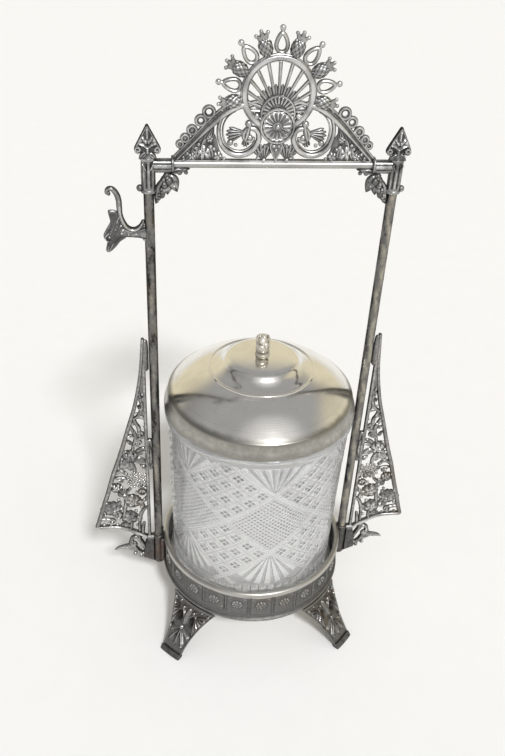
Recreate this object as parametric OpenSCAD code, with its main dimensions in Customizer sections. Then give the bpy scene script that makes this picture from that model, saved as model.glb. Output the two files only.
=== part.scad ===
// Pickle castor: silver-plated frame with a glass jar and a lift-off lid.
// Millimetres, +Z up, +X to the side of the uprights, -Y is the front.
// The origin is on the table under the middle of the jar.

/* [Jar] */
// outside radius of the glass just under its lip
jar_top_r = 41.8; // [40.5:0.1:43]
// how much smaller the outside radius is at the bottom
jar_taper = 2.4; // [1:0.1:3]
// height of the glass from its bottom to the top of its lip
jar_h = 95.6; // [90:0.2:100]
// thickness of the glass wall
jar_wall = 4.2; // [3:0.1:5]
// thickness of the glass floor
jar_floor = 7; // [5:0.5:9]
// how far the rounded lip stands out from the wall
lip_out = 1.4; // [1:0.1:1.8]
// height of the rounded lip
lip_h = 4.6; // [3.5:0.1:5.5]
// number of flutes round the foot of the jar
flute_n = 32; // [24:2:36]

/* [Lid] */
// height of the flared band round the lid
band_h = 7.3; // [6:0.1:9]
// how far the top of the band is set in from its foot
band_in = 1.75; // [1.2:0.05:2.2]
// rise of the sloping top from the band to the crown
slope_h = 11.1; // [9:0.1:12]
// radius of the bead round the foot of the crown
crown_r = 22.9; // [21:0.1:25]
// radius of the crown's shoulder
shoulder_r = 16.2; // [15:0.1:17]
// height of the crown above its bead
crown_h = 6.4; // [5.5:0.1:7.5]
// thickness of the lid's metal
lid_t = 0.9; // [0.8:0.05:1.1]
// depth of the ring that drops into the mouth of the jar
bezel_h = 7; // [5:0.5:9]
// height of the cast finial
knob_h = 10.4; // [9:0.1:12]

/* [Base] */
// free width between the foot of the jar and the gallery
jar_gap = 3.5; // [3.2:0.1:4.5]
// thickness of the gallery wall
gallery_t = 1; // [0.8:0.05:1.3]
// height of the ornamented gallery wall
gallery_h = 11.8; // [10.5:0.1:13]
// number of square panels round the gallery
panel_n = 24; // [20:2:26]
// height of the rim above the gallery wall
rim_h = 3.2; // [2.6:0.1:3.8]
// height of the moulding under the gallery wall
moulding_h = 4; // [3.4:0.1:4.6]
// thickness of the tray floor
floor_t = 1.7; // [1.4:0.1:2]

/* [Feet] */
// height of the underside of the base above the table
foot_h = 21.5; // [19:0.5:24]
// how far the feet reach out past the base
foot_reach = 16.6; // [14:0.2:19]
// width of a foot where it meets the base
foot_top_w = 27; // [24:0.5:29]
// width of a foot at the table
foot_end_w = 11.8; // [10:0.2:14]
// thickness of the cast feet
foot_t = 2.4; // [2:0.1:2.8]

/* [Frame] */
// diameter of the upright rods
rod_d = 4; // [3.6:0.1:4.4]
// height of the crossbar's axis above the table
bar_z = 230; // [226:1:240]
// diameter of the crossbar
bar_d = 2.8; // [2.4:0.1:3.2]
// depth of the sockets that hold the rods
socket_h = 19; // [18:0.5:20]
// height of the arrowhead finials
arrow_h = 13; // [11:0.5:15]

/* [Wings] */
// height of the tips of the side wings
wing_tip = 155; // [150:1:160]
// height of the outer bottom corners of the wings
wing_low = 46; // [45:0.5:48]
// how far the wings reach out from the rods
wing_w = 31.2; // [29:0.2:33]
// thickness of the openwork castings
wing_t = 2.2; // [1.8:0.1:2.6]

/* [Crest] */
// outside radius of the crest's ring
ring_r = 13.7; // [13:0.1:14.4]
// height of the ring's centre above the crossbar
ring_lift = 25.8; // [25.2:0.1:26.6]
// number of rays in the fan
ray_n = 11; // [9:2:13]
// thickness of the crest's casting
crest_t = 2.4; // [2:0.1:2.8]

/* [Tong hook] */
// height of the hook's lug on the left rod
hook_z = 203.5; // [198:0.5:205]
// thickness of the hook's casting
hook_t = 2.6; // [2.2:0.1:3]

/* [Hidden] */
$fn = 64;
seat = 0.3;
base_z = foot_h;
band_z = base_z + moulding_h;
rim_z = band_z + gallery_h;
rim_top = rim_z + rim_h;
floor_top = base_z + 1 + floor_t;
jar_z = floor_top + seat;
jar_r0 = jar_top_r - jar_taper;
gal_in = jar_r0 + jar_gap;
gal_r = gal_in + gallery_t;
rim_r = gal_r + 0.9;
rim_in = gal_in - 0.6;
mould_r = gal_r + 1.2;
mould_in = gal_in - 0.9;
lip_r = jar_top_r + lip_out;
lip_z = jar_z + jar_h;
mouth_r = jar_top_r - jar_wall;
lid_z = lip_z + seat;
lid_r = lip_r;
bead_z = lid_z + band_h + slope_h;
crown_z = bead_z + crown_h;
stem_r = 1.5;
rod_r = rod_d / 2;
bar_r = bar_d / 2;
rod_x = max(rim_r + 0.45, lip_r + 1.5) + rod_r;
sleeve_r = rod_r + 0.9;
tube_r = bar_r + 0.55;
collar_x = rod_x - 8.6;
socket_z = base_z - 1.5;
socket_top = socket_z + socket_h;
socket_x = rod_x + rod_r + 1.6;
ring_z = bar_z + ring_lift;
boss_z = ring_z - 11.1;
elbow_lo = bar_z - 10.6;
elbow_hi = bar_z + 2.6;
silver = [0.56, 0.56, 0.55];
dark = [0.42, 0.42, 0.41];
bright = [0.80, 0.78, 0.74];
glass = [0.86, 0.90, 0.90, 0.4];

// which sub-part to draw

// Points on a cubic curve with four control points.
function cubic(p, t) = pow(1 - t, 3) * p[0] + 3 * t * pow(1 - t, 2) * p[1]
    + 3 * t * t * (1 - t) * p[2] + t * t * t * p[3];
function curve(p, n) = [for (i = [0 : n]) cubic(p, i / n)];
// Unit normal of a polyline at point i.
function side(c, i) = let (a = c[max(i - 1, 0)], b = c[min(i + 1, len(c) - 1)], d = b - a)
    [-d[1], d[0]] / norm(d);
// Outline of a strip along a polyline, w0 wide at its start and w1 at its end.
function strip(c, w0, w1) = let (n = len(c) - 1) concat(
    [for (i = [0 : n]) c[i] - side(c, i) * (w0 + (w1 - w0) * i / n) / 2],
    [for (i = [n : -1 : 0]) c[i] + side(c, i) * (w0 + (w1 - w0) * i / n) / 2]);
// Points of an arc about c, of radius r0 at angle a0 and r1 at angle a1.
function arc(c, r0, r1, a0, a1, n) = [for (i = [0 : n]) let (k = i / n, a = a0 + (a1 - a0) * k)
    c + (r0 + (r1 - r0) * k) * [cos(a), sin(a)]];
// Outline of a pointed leaf of length l and width w along +X.
function leaf(l, w) = concat([[0, 0]],
    [for (i = [1 : 7]) [l * i / 8, -w / 2 * pow(sin(180 * pow(i / 8, 0.8)), 0.9)]], [[l, 0]],
    [for (i = [7 : -1 : 1]) [l * i / 8, w / 2 * pow(sin(180 * pow(i / 8, 0.8)), 0.9)]]);

// Stands a drawing up in the XZ plane, t thick and centred on y = 0.
module upright_plate(t) {
    rotate([90, 0, 0]) translate([0, 0, -t / 2]) linear_extrude(t) children();
}

// A leaf drawn from point p at angle a.
module leaf_at(p, a, l, w) {
    translate(p) rotate(a) polygon(leaf(l, w));
}

// A pierced ring drawn at point p.
module ring_at(p, r, hole) {
    translate(p) difference() {
        circle(r, $fn = 32);
        circle(hole, $fn = 24);
    }
}

// A five-petalled flower drawn at point p.
module flower_at(p, r) {
    translate(p) {
        circle(r * 0.5, $fn = 20);
        for (k = [0 : 4]) rotate(90 + 72 * k) translate([r * 0.6, 0]) circle(r * 0.42, $fn = 20);
    }
}

// Tray floor that carries the jar.
module base_plate() {
    color(dark) translate([0, 0, base_z + 1]) cylinder(r = mould_in, h = floor_t, $fn = 128);
}

// Moulded ring under the gallery.
module lower_rim() {
    h = moulding_h;
    color(silver) translate([0, 0, base_z]) rotate_extrude($fn = 128) polygon([[mould_in, 0],
        [mould_r - 0.8, 0], [mould_r - 0.2, h * 0.15], [mould_r, h * 0.35], [mould_r - 0.2, h * 0.52],
        [mould_r - 0.9, h * 0.62], [mould_r - 1.1, h * 0.8], [gal_r, h], [mould_in, h]]);
}

// Gallery wall with square panels, each with a round flower.
module gallery_band() {
    p = 360 / panel_n;
    f = min(3.2, PI * gal_r / panel_n - 2);
    color(silver) translate([0, 0, band_z]) {
        rotate_extrude($fn = 128) translate([gal_in, 0]) square([gallery_t, gallery_h]);
        for (k = [0 : panel_n - 1]) rotate([0, 0, p * k]) {
            translate([gal_r - 0.5, -0.4, 0]) cube([0.9, 0.8, gallery_h]);
            rotate([0, 0, p / 2]) translate([gal_r - 0.5, 0, gallery_h / 2]) rotate([0, 90, 0]) {
                cylinder(r = f, h = 0.8, $fn = 32);
                cylinder(r = 1.1, h = 1.2, $fn = 20);
            }
        }
    }
}

// Rounded rim on the gallery.
module upper_rim() {
    h = rim_h;
    color(bright) translate([0, 0, rim_z]) rotate_extrude($fn = 128) polygon([[rim_in, h * 0.3],
        [gal_in, 0], [gal_r, 0], [rim_r - 0.3, h * 0.18], [rim_r, h * 0.45], [rim_r - 0.15, h * 0.72],
        [rim_r - 0.6, h * 0.92], [rim_r - 1.2, h], [rim_in + 0.5, h * 0.9], [rim_in, h * 0.6]]);
}

// Cast foot, a piece of a cone with hollowed sides and a bar at the table.
module foot(a) {
    r1 = mould_r - 1.6;
    r2 = mould_r + foot_reach;
    slant = foot_t * sqrt(1 + pow((r2 - r1) / foot_h, 2));
    outline = [for (i = [0 : 10]) let (z = foot_h * i / 10)
        [(foot_end_w + (foot_top_w - foot_end_w) * pow(i / 10, 2.2)) / 2, z]];
    color(dark) rotate([0, 0, a]) {
        difference() {
            intersection() {
                rotate([0, 0, -40]) rotate_extrude(angle = 80, $fn = 128) polygon([[r2 - slant, 0],
                    [r2, 0], [r1 + slant / 2, foot_h], [r1 - slant / 2, foot_h]]);
                translate([20, 0, 0]) rotate([90, 0, 90]) linear_extrude(80)
                    polygon(concat(outline, [for (i = [10 : -1 : 0]) [-outline[i][0], outline[i][1]]]));
            }
            for (s = [-1, 1]) translate([20, s * foot_top_w * 0.2, foot_h * 0.8]) rotate([0, 90, 0])
                cylinder(r = 1.2, h = 80, $fn = 20);
        }
        translate([r2 - 2.6, -foot_end_w / 2 - 0.4, 0]) cube([3.4, foot_end_w + 0.8, 2.2]);
        for (s = [-1, 0, 1]) translate([r2 - (r2 - r1) * (0.34 + 0.3 * abs(s)) - 0.6,
            s * foot_top_w * 0.22, foot_h * (0.34 + 0.3 * abs(s))])
                sphere(1.2 + 0.2 * (1 - abs(s)), $fn = 20);
    }
}
module foot_front_left() {
    foot(-135);
}
module foot_front_right() {
    foot(-45);
}
module foot_back_left() {
    foot(135);
}
module foot_back_right() {
    foot(45);
}

// Block on the side of the gallery that takes the foot of a rod.
module socket() {
    x0 = max(rim_r, mould_r) + 0.2;
    color(dark) difference() {
        union() {
            translate([x0, -3, socket_z]) cube([socket_x - x0, 6, socket_h]);
            translate([gal_in, -2.4, band_z + 0.5]) cube([x0 - gal_in + 0.5, 4.8, gallery_h - 1]);
        }
        translate([0, 0, band_z]) cylinder(r = gal_r + 0.4, h = gallery_h, $fn = 128);
        translate([rod_x, 0, socket_z + 2]) cylinder(r = rod_r, h = socket_h, $fn = 32);
    }
}
module socket_right() {
    socket();
}
module socket_left() {
    mirror([1, 0, 0]) socket();
}

// Upright rod from its socket to the elbow.
module rod() {
    color(dark) translate([rod_x, 0, socket_z + 2]) cylinder(r = rod_r, h = bar_z - socket_z - 2, $fn = 32);
}
module upright_right() {
    rod();
}
module upright_left() {
    mirror([1, 0, 0]) rod();
}

// Openwork wing outside a rod: rails, three lugs, flowers and leaves, and a beaked scroll.
module wing_drawing() {
    xi = rod_x + rod_r + 2.9;
    xo = rod_x + wing_w;
    outer = [[xi - 0.4, wing_tip - 1], [xi + 1.2, wing_tip - 36],
        [xo - 15.5, wing_low + 43], [xo - 1.2, wing_low]];
    bottom = [[xi + 0.8, socket_top - 0.5], [xi + 6, wing_low - 2.5],
        [xo - 10, wing_low + 1.6], [xo, wing_low + 0.6]];
    zt = wing_tip - 16;
    mid_z = (zt + socket_top) / 2;
    difference() {
        translate([rod_x, zt]) polygon([[0, 0], [xi - rod_x + 1.6, 0], [xi - rod_x + 0.9, 14.6],
            [xi - rod_x - 0.2, 16], [0, 15.4]]);
        translate([rod_x - 1, zt - 1]) square([1 + rod_r * 0.6, 20]);
    }
    translate([rod_x + rod_r * 0.6, mid_z - 8.5]) square([xi - rod_x - rod_r * 0.6, 18]);
    translate([socket_x, socket_z]) square([4.2, socket_h]);
    translate([xi - 1, socket_top - 6]) square([2, zt - socket_top + 7]);
    polygon(strip(curve(outer, 16), 2.2, 2.4));
    polygon(strip(curve(bottom, 10), 1.9, 1.7));
    // rows of stems across the wing, each with flowers and leaves
    for (k = [0 : len(wing_rows) - 1]) {
        row = wing_rows[k];
        o = cubic(outer, row[0]);
        i = [xi, o[1] + row[1]];
        d = o - i;
        stem = [i, i + [d[0] * 0.3, d[1] - 2.4], o + [-d[0] * 0.3, 2.4 - d[1]], o];
        polygon(strip(curve(stem, 8), 1.4, 1.2));
        for (u = row[2]) let (c = cubic(stem, u)) {
            flower_at(c, row[3]);
            for (a = [60, 125, 240, 305]) leaf_at(c, a + 14 * (k % 2), row[4], row[4] * 0.36);
        }
    }
    // scroll with a beak under the bottom rail
    polygon(strip(concat(arc([xi + 6.5, socket_top - 6.5], 5.6, 5, 180, 20, 10),
        curve([[xi + 11.2, socket_top - 6], [xi + 11.5, socket_top - 10],
            [xi + 13, socket_top - 9.4], [xi + 20.5, socket_top - 7.6]], 8)), 2.4, 0.8));
    polygon(strip(curve([[socket_x + 3.4, socket_z + 6], [xi + 6, socket_z + 6.4],
        [xi + 9, socket_z + 8], [xi + 11.6, socket_top - 8.6]], 8), 2.6, 2.2));
    translate([xi + 4.6, socket_z + 6]) circle(1.4, $fn = 20);
}
// Rows of the wing's infill: place along the outer rail, rise at the rod, places of
// the flowers across the row, radius of a flower, length of a leaf.
wing_rows = [[0.27, -5, [], 1, 1], [0.36, 3, [0.5], 1.3, 4.5], [0.45, -3, [0.5], 1.8, 6],
    [0.54, 3, [0.5], 2.5, 7], [0.63, -3, [0.36], 3.2, 7.5], [0.71, 4, [0.6], 3.6, 8],
    [0.79, -3, [0.26, 0.7], 3.6, 8], [0.87, 3, [0.34, 0.72], 3.9, 8], [0.945, -1, [0.25, 0.6], 4, 7.5]];
module wing() {
    color(dark) difference() {
        upright_plate(wing_t) wing_drawing();
        translate([rod_x, 0, 0]) cylinder(r = rod_r, h = bar_z, $fn = 32);
    }
}
module wing_right() {
    wing();
}
module wing_left() {
    mirror([1, 0, 0]) wing();
}

// Corner elbow: sleeve on the rod, ribbed tube for the crossbar, bead outside.
module elbow() {
    color(dark) difference() {
        union() {
            translate([rod_x, 0, elbow_lo]) cylinder(r = sleeve_r - 0.3, h = elbow_hi - elbow_lo, $fn = 40);
            translate([rod_x, 0, elbow_lo]) cylinder(r = sleeve_r + 0.2, h = 1.2, $fn = 40);
            translate([rod_x, 0, elbow_hi - 1.2]) cylinder(r = sleeve_r, h = 1.2, $fn = 40);
            for (a = [0 : 45 : 315]) rotate_about(a) translate([sleeve_r - 0.35, 0, elbow_lo + 1])
                cylinder(r = 0.45, h = elbow_hi - elbow_lo - 2, $fn = 16);
            translate([collar_x, 0, bar_z]) rotate([0, 90, 0])
                cylinder(r = tube_r - 0.2, h = rod_x - collar_x, $fn = 40);
            for (k = [0 : 2]) translate([collar_x + 0.8 + 1.9 * k, 0, bar_z]) rotate([0, 90, 0])
                cylinder(r = tube_r + 0.15, h = 1.1, $fn = 40);
            translate([rod_x + sleeve_r + 0.5, 0, elbow_lo + 1.2]) sphere(1.3, $fn = 24);
        }
        translate([rod_x, 0, elbow_lo - 1]) cylinder(r = rod_r, h = bar_z - elbow_lo + 1, $fn = 32);
        translate([collar_x - 1, 0, bar_z]) rotate([0, 90, 0]) cylinder(r = bar_r, h = 5.6 + 1, $fn = 32);
        translate([rod_x, 0, elbow_hi - 2.2]) cylinder(r = 0.9, h = 3, $fn = 24);
    }
}
module rotate_about(a) {
    translate([rod_x, 0, 0]) rotate([0, 0, a]) children();
}
module elbow_right() {
    elbow();
}
module elbow_left() {
    mirror([1, 0, 0]) elbow();
}

// Leafy bracket in the inner corner under an elbow.
module spandrel() {
    x = rod_x - sleeve_r;
    z = bar_z - tube_r;
    color(dark) difference() {
        upright_plate(wing_t) {
            translate([collar_x + 0.4, z - 5]) square([x - collar_x, 6]);
            leaf_at([x + 0.6, z - 3.6], 244, 10.4, 3.6);
            leaf_at([x, z - 2.6], 207, 10, 4.6);
            leaf_at([x - 1, z - 3.4], 180, 12, 2.8);
            translate([x - 6.4, z - 5.8]) circle(1.5, $fn = 20);
        }
        translate([collar_x + 3.6, 0, z - 2.4]) rotate([90, 0, 0])
            cylinder(r = 0.9, h = 10, center = true, $fn = 24);
        translate([rod_x, 0, elbow_lo - 20]) cylinder(r = sleeve_r + 0.2, h = 40, $fn = 40);
        translate([collar_x - 20, 0, bar_z]) rotate([0, 90, 0]) cylinder(r = tube_r + 0.15, h = 40, $fn = 40);
        translate([collar_x - 20.6, -5, z - 2]) cube([21, 10, 10]);
    }
}
module spandrel_right() {
    spandrel();
}
module spandrel_left() {
    mirror([1, 0, 0]) spandrel();
}

// Arrowhead finial on an elbow.
module arrow() {
    z = elbow_hi;
    color(dark) {
        translate([rod_x, 0, z - 1.6]) cylinder(r = 0.9, h = 3.4, $fn = 24);
        translate([rod_x, 0, z]) rotate_extrude($fn = 32) polygon([[0, 0], [2.6, 0], [2.8, 0.7], [1.7, 1.5],
            [1.3, 2.4], [0, 2.4]]);
        upright_plate(wing_t) translate([rod_x, z]) {
            polygon([[-1, 2], [1, 2], [1.1, 4], [3.2, 4.6], [4.9, 4.4], [4.7, 5.6], [0.9, arrow_h - 0.5],
                [0, arrow_h], [-0.9, arrow_h - 0.5], [-4.7, 5.6], [-4.9, 4.4], [-3.2, 4.6], [-1.1, 4]]);
            for (s = [-1, 1]) translate([s * 3.6, 4.1]) circle(1.25, $fn = 24);
        }
        for (s = [-1, 1]) translate([rod_x + s * 2.6, 0, z + 0.9]) sphere(0.9, $fn = 16);
    }
}
module arrow_right() {
    arrow();
}
module arrow_left() {
    mirror([1, 0, 0]) arrow();
}

// Round crossbar that carries the crest and serves as the handle.
module crossbar() {
    w = collar_x + 5.6;
    color(silver) translate([-w, 0, bar_z]) rotate([0, 90, 0]) cylinder(r = bar_r, h = 2 * w, $fn = 32);
}

// Thin disc on the crossbar against the end of an elbow.
module collar() {
    color(silver) translate([collar_x - 1, 0, bar_z]) rotate([0, 90, 0]) difference() {
        cylinder(r = tube_r + 1.2, h = 1, $fn = 40);
        translate([0, 0, -1]) cylinder(r = bar_r, h = 3, $fn = 32);
    }
}
module collar_right() {
    collar();
}
module collar_left() {
    mirror([1, 0, 0]) collar();
}

// Raking arm of the crest, from the ring down to the end of the bar.
arm = [[ring_r - 0.8, ring_z - 3.2], [ring_r + 7.6, ring_z - 5.8],
    [collar_x * 0.66, bar_z + 13.6], [collar_x - 1.8, bar_z + 2.4]];
arm_line = curve(arm, 18);
loop_outline = [for (i = [0 : 23]) let (a = 15 * i)
    [3.9 + 3.7 * cos(a), 2.7 * sin(a) * (1 - 0.32 * cos(a))]];
loop_hole = [for (i = [0 : 23]) let (a = 15 * i)
    [3.7 + 2.6 * cos(a), 1.6 * sin(a) * (1 - 0.3 * cos(a))]];
pine_outline = [for (i = [0 : 23]) [3.3 - 3.3 * cos(15 * i), -2.4 * sin(15 * i)]];

// One side of the crest in full thickness: arm and scroll.
module crest_side() {
    polygon(strip(arm_line, 2.2, 2));
    polygon(strip(concat(
        curve([[ring_r + 2.8, ring_z - 5.2], [crest_eye[0] + 6, crest_eye[1] + 8.4],
            [crest_eye[0] + 8.6, crest_eye[1] + 4], [crest_eye[0] + 7.6, crest_eye[1] - 1]], 8),
        arc(crest_eye, 7.6, 7.2, -18, -170, 14),
        arc(crest_eye + [-3.6, -0.8], 3.4, 2.2, 160, -20, 8)), 1.8, 1.6));
}
crest_eye = [collar_x * 0.35, bar_z + 11];

// One side of the crest in lower relief: rings, butterfly, foliage, beads.
module crest_side_low() {
    for (k = [0 : 4]) {
        r = 2.5 - 0.21 * k;
        t = 0.45 + 0.185 * k - 0.017 * k * k;
        d = cubic(arm, t + 0.01) - cubic(arm, t - 0.01);
        ring_at(cubic(arm, t) + [-d[1], d[0]] / norm(d) * (r + 0.7), r, r * 0.52);
    }
    leaf_at(crest_eye + [-5.6, 1.2], 4, 9.4, 4);
    leaf_at(crest_eye + [-5.6, 0.8], -38, 7.6, 3.6);
    translate(crest_eye + [-4.6, 3.2]) circle(1.3, $fn = 20);
    translate(crest_eye + [-5.2, 1.6]) circle(1.3, $fn = 20);
    leaf_at([crest_eye[0] + 7.4, bar_z + 12], -78, 9, 3);
    leaf_at([crest_eye[0] + 7.4, bar_z + 12], -50, 11, 2.8);
    for (k = [0 : 3]) leaf_at([collar_x * (0.56 + 0.1 * k), bar_z + 1], 70 + 18 * k, 7.4 - 0.8 * k, 3.2);
    for (a = [118, 90, 62]) leaf_at([4, bar_z + 1], a, 7, 2.6);
    translate([4, bar_z + 1.6]) circle(1.8, $fn = 20);
    polygon(strip(curve([[4.6, ring_z - 5.4], [6.6, ring_z - 2.6],
        [9.6, ring_z - 3.4], [ring_r - 0.8, ring_z - 4.4]], 8), 1.3, 1.1));
    translate([7.4, ring_z - 8]) circle(1.6, $fn = 20);
}

// Openwork crest on the crossbar: ring, fan, pineapples, loops, arms and scrolls.
module crest() {
    color(silver) difference() {
        union() {
            upright_plate(crest_t) {
                ring_at([0, ring_z], ring_r, ring_r - 2.4);
                translate([0, boss_z]) circle(6.7, $fn = 48);
                translate([0, ring_z - 6.6]) circle(6.4, $fn = 48);
                translate([-collar_x + 1.2, bar_z]) square([2 * collar_x - 2.4, bar_r + 1]);
            }
            for (s = [0, 1]) mirror([s, 0, 0]) {
                upright_plate(crest_t) crest_side();
                upright_plate(crest_t - 0.8) crest_side_low();
            }
            upright_plate(crest_t - 0.8) {
                polygon([[-2.1, boss_z - 8], [-0.6, bar_z + 1], [0.6, bar_z + 1], [2.1, boss_z - 8],
                    [1.9, boss_z - 5.8], [-1.9, boss_z - 5.8]]);
                for (k = [0 : ray_n - 1]) let (a = 8 + 164 * k / (ray_n - 1))
                    translate([0, ring_z - 6.6]) rotate(a) translate([5, -0.55])
                        square([ray_reach(a) - 5, 1.1]);
                for (k = [1 : 2 : 9]) translate([0, ring_z]) rotate(20 * k - 10)
                    translate([ring_r - 0.6, 0]) loop();
                for (k = [0 : 2 : 10]) translate([0, ring_z]) rotate(20 * k - 10) translate([ring_r - 0.6, 0])
                    pineapple_crown();
            }
            upright_plate(crest_t + 0.8) for (k = [0 : 2 : 10]) translate([0, ring_z]) rotate(20 * k - 10)
                translate([ring_r - 0.5, 0]) polygon(pine_outline);
            upright_plate(crest_t + 1.6) for (k = [0 : 2 : 10]) translate([0, ring_z]) rotate(20 * k - 10)
                translate([ring_r + 0.6, 0]) polygon(pine_outline * 0.66);
        }
        translate([-collar_x, 0, bar_z]) rotate([0, 90, 0]) cylinder(r = bar_r, h = 2 * collar_x, $fn = 32);
        translate([-collar_x, -5, bar_z - 5]) cube([2 * collar_x, 10, 5]);
        for (s = [0, 1]) mirror([s, 0, 0]) translate([collar_x - 1, -5, bar_z - 5]) cube([6, 10, 12]);
    }
}
// Distance from the fan's centre to the ring along a ray at angle a.
function ray_reach(a) = let (d = 6.6, r = ring_r - 1.2) d * sin(a) + sqrt(r * r - pow(d * cos(a), 2));

// Crown of leaves on a pineapple.
module pineapple_crown() {
    translate([5.2, -0.6]) square([1.4, 1.2]);
    for (a = [-34, 0, 34]) translate([5.9, 0]) rotate(a) polygon(leaf(3.4, 1.5));
}

// Teardrop loop with a bead at its tip, growing along +X.
module loop() {
    difference() {
        polygon(loop_outline);
        polygon(loop_hole);
    }
    translate([8.6, 0]) circle(1.05, $fn = 20);
    translate([7, -0.5]) square([1.2, 1]);
}

// Round petalled boss on the front of the crest.
module crest_boss() {
    y = -crest_t / 2;
    color(silver) translate([0, y, boss_z]) rotate([90, 0, 0]) {
        difference() {
            cylinder(r = 6.5, h = 1.6, $fn = 48);
            translate([0, 0, 0.7]) cylinder(r = 5.5, h = 2, $fn = 48);
        }
        cylinder(r = 1.1, h = 2.2, $fn = 24);
        for (k = [0 : 13]) rotate([0, 0, 360 * k / 14]) translate([3.4, 0, 0.5])
            cylinder(r = 0.65, h = 0.9, $fn = 16);
    }
}

// Hook for the tongs on the left rod: a beaked head below, a curled neck above.
module tong_hook() {
    x = -rod_x - rod_r;
    z = hook_z;
    throat = concat(curve([[x + 1.2, z + 1.6], [x - 1, z - 0.6], [x - 5.4, z - 1], [x - 7, z + 4.6]], 8),
        curve([[x - 7.2, z + 6], [x - 7.4, z + 9.4], [x - 6.8, z + 17], [x - 12, z + 17]], 10));
    color(dark) difference() {
        union() {
            upright_plate(hook_t) {
                polygon(strip(throat, 2.4, 1.6));
                translate([x - 12.2, z + 15.7]) circle(1.5, $fn = 24);
                polygon([[x + 1.2, z + 2.2], [x - 3.4, z + 0.6], [x - 6, z + 3.4], [x - 8, z + 6],
                    [x - 10.6, z + 8.4], [x - 13.2, z + 8.2], [x - 12.2, z + 5.6], [x - 12.8, z + 2.6],
                    [x - 15.4, z - 1.4],
                    [x - 15.2, z - 4.2], [x - 14, z - 9], [x - 12.4, z - 8.6], [x - 9.4, z - 4.8],
                    [x - 4.8, z - 3], [x - 1.2, z - 3.4], [x + 1.2, z - 5]]);
            }
            upright_plate(hook_t + 0.8) translate([x - 13.2, z - 2.2]) circle(0.9, $fn = 20);
        }
        translate([-rod_x, 0, z - 20]) cylinder(r = rod_r, h = 40, $fn = 32);
    }
}

// Glass jar with a rounded lip and flutes round its foot.
module jar() {
    lo = jar_z;
    hi = lip_z - lip_h;
    color(glass) difference() {
        rotate_extrude($fn = 128) polygon([[0, lo], [jar_r0 - 1.4, lo], [jar_r0 - 0.3, lo + 0.8],
            [jar_r0, lo + 2.2], [jar_top_r, hi], [lip_r - 0.5, hi + 0.5], [lip_r, hi + 1.6],
            [lip_r, lip_z - 1.4], [lip_r - 0.5, lip_z - 0.4], [lip_r - 1.4, lip_z],
            [mouth_r + 0.7, lip_z], [mouth_r, lip_z - 0.8],
            [jar_r0 - jar_wall + 0.1, lo + jar_floor + 2.4], [jar_r0 - jar_wall - 2.2, lo + jar_floor],
            [0, lo + jar_floor]]);
        for (k = [0 : flute_n - 1]) rotate([0, 0, 360 * k / flute_n]) translate([jar_r0 + 8.6, 0, lo - 1])
            cylinder(r = 9, h = 13, $fn = 32);
    }
}

// Spun lid: flared band, sloping top, round crown.
module lid_shell() {
    sh = lid_z + band_h;
    r1 = lid_r - band_in;
    mid = (r1 + crown_r) / 2;
    outside = [[lid_r, lid_z], [lid_r, lid_z + 0.9], [r1 + 0.5, sh - band_h * 0.35],
        [r1, sh - 0.6], [r1 - 0.3, sh], [mid, sh + slope_h * 0.56], [crown_r + 0.7, bead_z - 0.4],
        [crown_r + 0.4, bead_z + 0.4], [crown_r - 0.4, bead_z + 0.3],
        [shoulder_r + 2.4, bead_z + crown_h * 0.24], [shoulder_r + 0.6, bead_z + crown_h * 0.5],
        [shoulder_r - 0.9, bead_z + crown_h * 0.72], [shoulder_r - 5, bead_z + crown_h * 0.92],
        [shoulder_r - 9, crown_z], [stem_r, crown_z]];
    inside = [[stem_r, crown_z - lid_t], [shoulder_r - 9.2, crown_z - lid_t],
        [shoulder_r - 5.4, bead_z + crown_h * 0.92 - lid_t],
        [shoulder_r - 1.8, bead_z + crown_h * 0.72 - lid_t],
        [shoulder_r - 0.3, bead_z + crown_h * 0.5 - lid_t],
        [shoulder_r + 1.8, bead_z + crown_h * 0.24 - lid_t], [crown_r - 0.5, bead_z - lid_t],
        [mid, sh + slope_h * 0.56 - lid_t - 0.2], [r1 - 1.2, sh - lid_t],
        [r1 - 0.9, sh - band_h * 0.35], [lid_r - 1.1, lid_z + 0.9], [lid_r - 1.1, lid_z]];
    color(bright) rotate_extrude($fn = 128) polygon(concat(outside, inside));
}

// Ring under the lid that centres it in the mouth of the jar.
module lid_bezel() {
    sh = lid_z + band_h;
    top = sh - band_h * 0.35;
    r1 = lid_r - band_in - 0.9;
    r = mouth_r - 1.2;
    color(silver) rotate_extrude($fn = 128) polygon([[r, lid_z - bezel_h], [r, top - 1.4],
        [r + 0.6, top - 0.8], [r1, top - 0.8], [r1, top], [r - 0.8, top], [r - 0.8, lid_z - bezel_h]]);
}

// Cast leafy finial with a stem through the crown.
module lid_finial() {
    z = crown_z;
    color(dark) {
        translate([0, 0, z - 4.6]) cylinder(r = stem_r, h = 6, $fn = 24);
        translate([0, 0, z]) cylinder(r = 3.1, h = 1, $fn = 32);
        translate([0, -4.4, z + 1.1]) sphere(1.1, $fn = 20);
        rotate([0, 90, 0]) {
            translate([-z - 4.4, 0, -2.4]) cylinder(r = 4, h = 4.8, $fn = 32);
            translate([-z - 3.6, -2.6, -3]) cylinder(r = 2.9, h = 6, $fn = 32);
            translate([-z - 4.6, 3, -2.8]) cylinder(r = 2.8, h = 5.6, $fn = 32);
            translate([-z - knob_h + 2.8, -1.2, -2.2]) cylinder(r = 2.8, h = 4.4, $fn = 32);
            translate([-z - knob_h + 3.6, 1.8, -2.6]) cylinder(r = 2.5, h = 5.2, $fn = 32);
        }
    }
}

// Small nut that holds the finial from inside the crown.
module lid_nut() {
    color(silver) translate([0, 0, crown_z - lid_t - 2.4]) difference() {
        cylinder(r = 3.4, h = 2.4, $fn = 6);
        translate([0, 0, -1]) cylinder(r = stem_r, h = 5, $fn = 24);
    }
}

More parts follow.
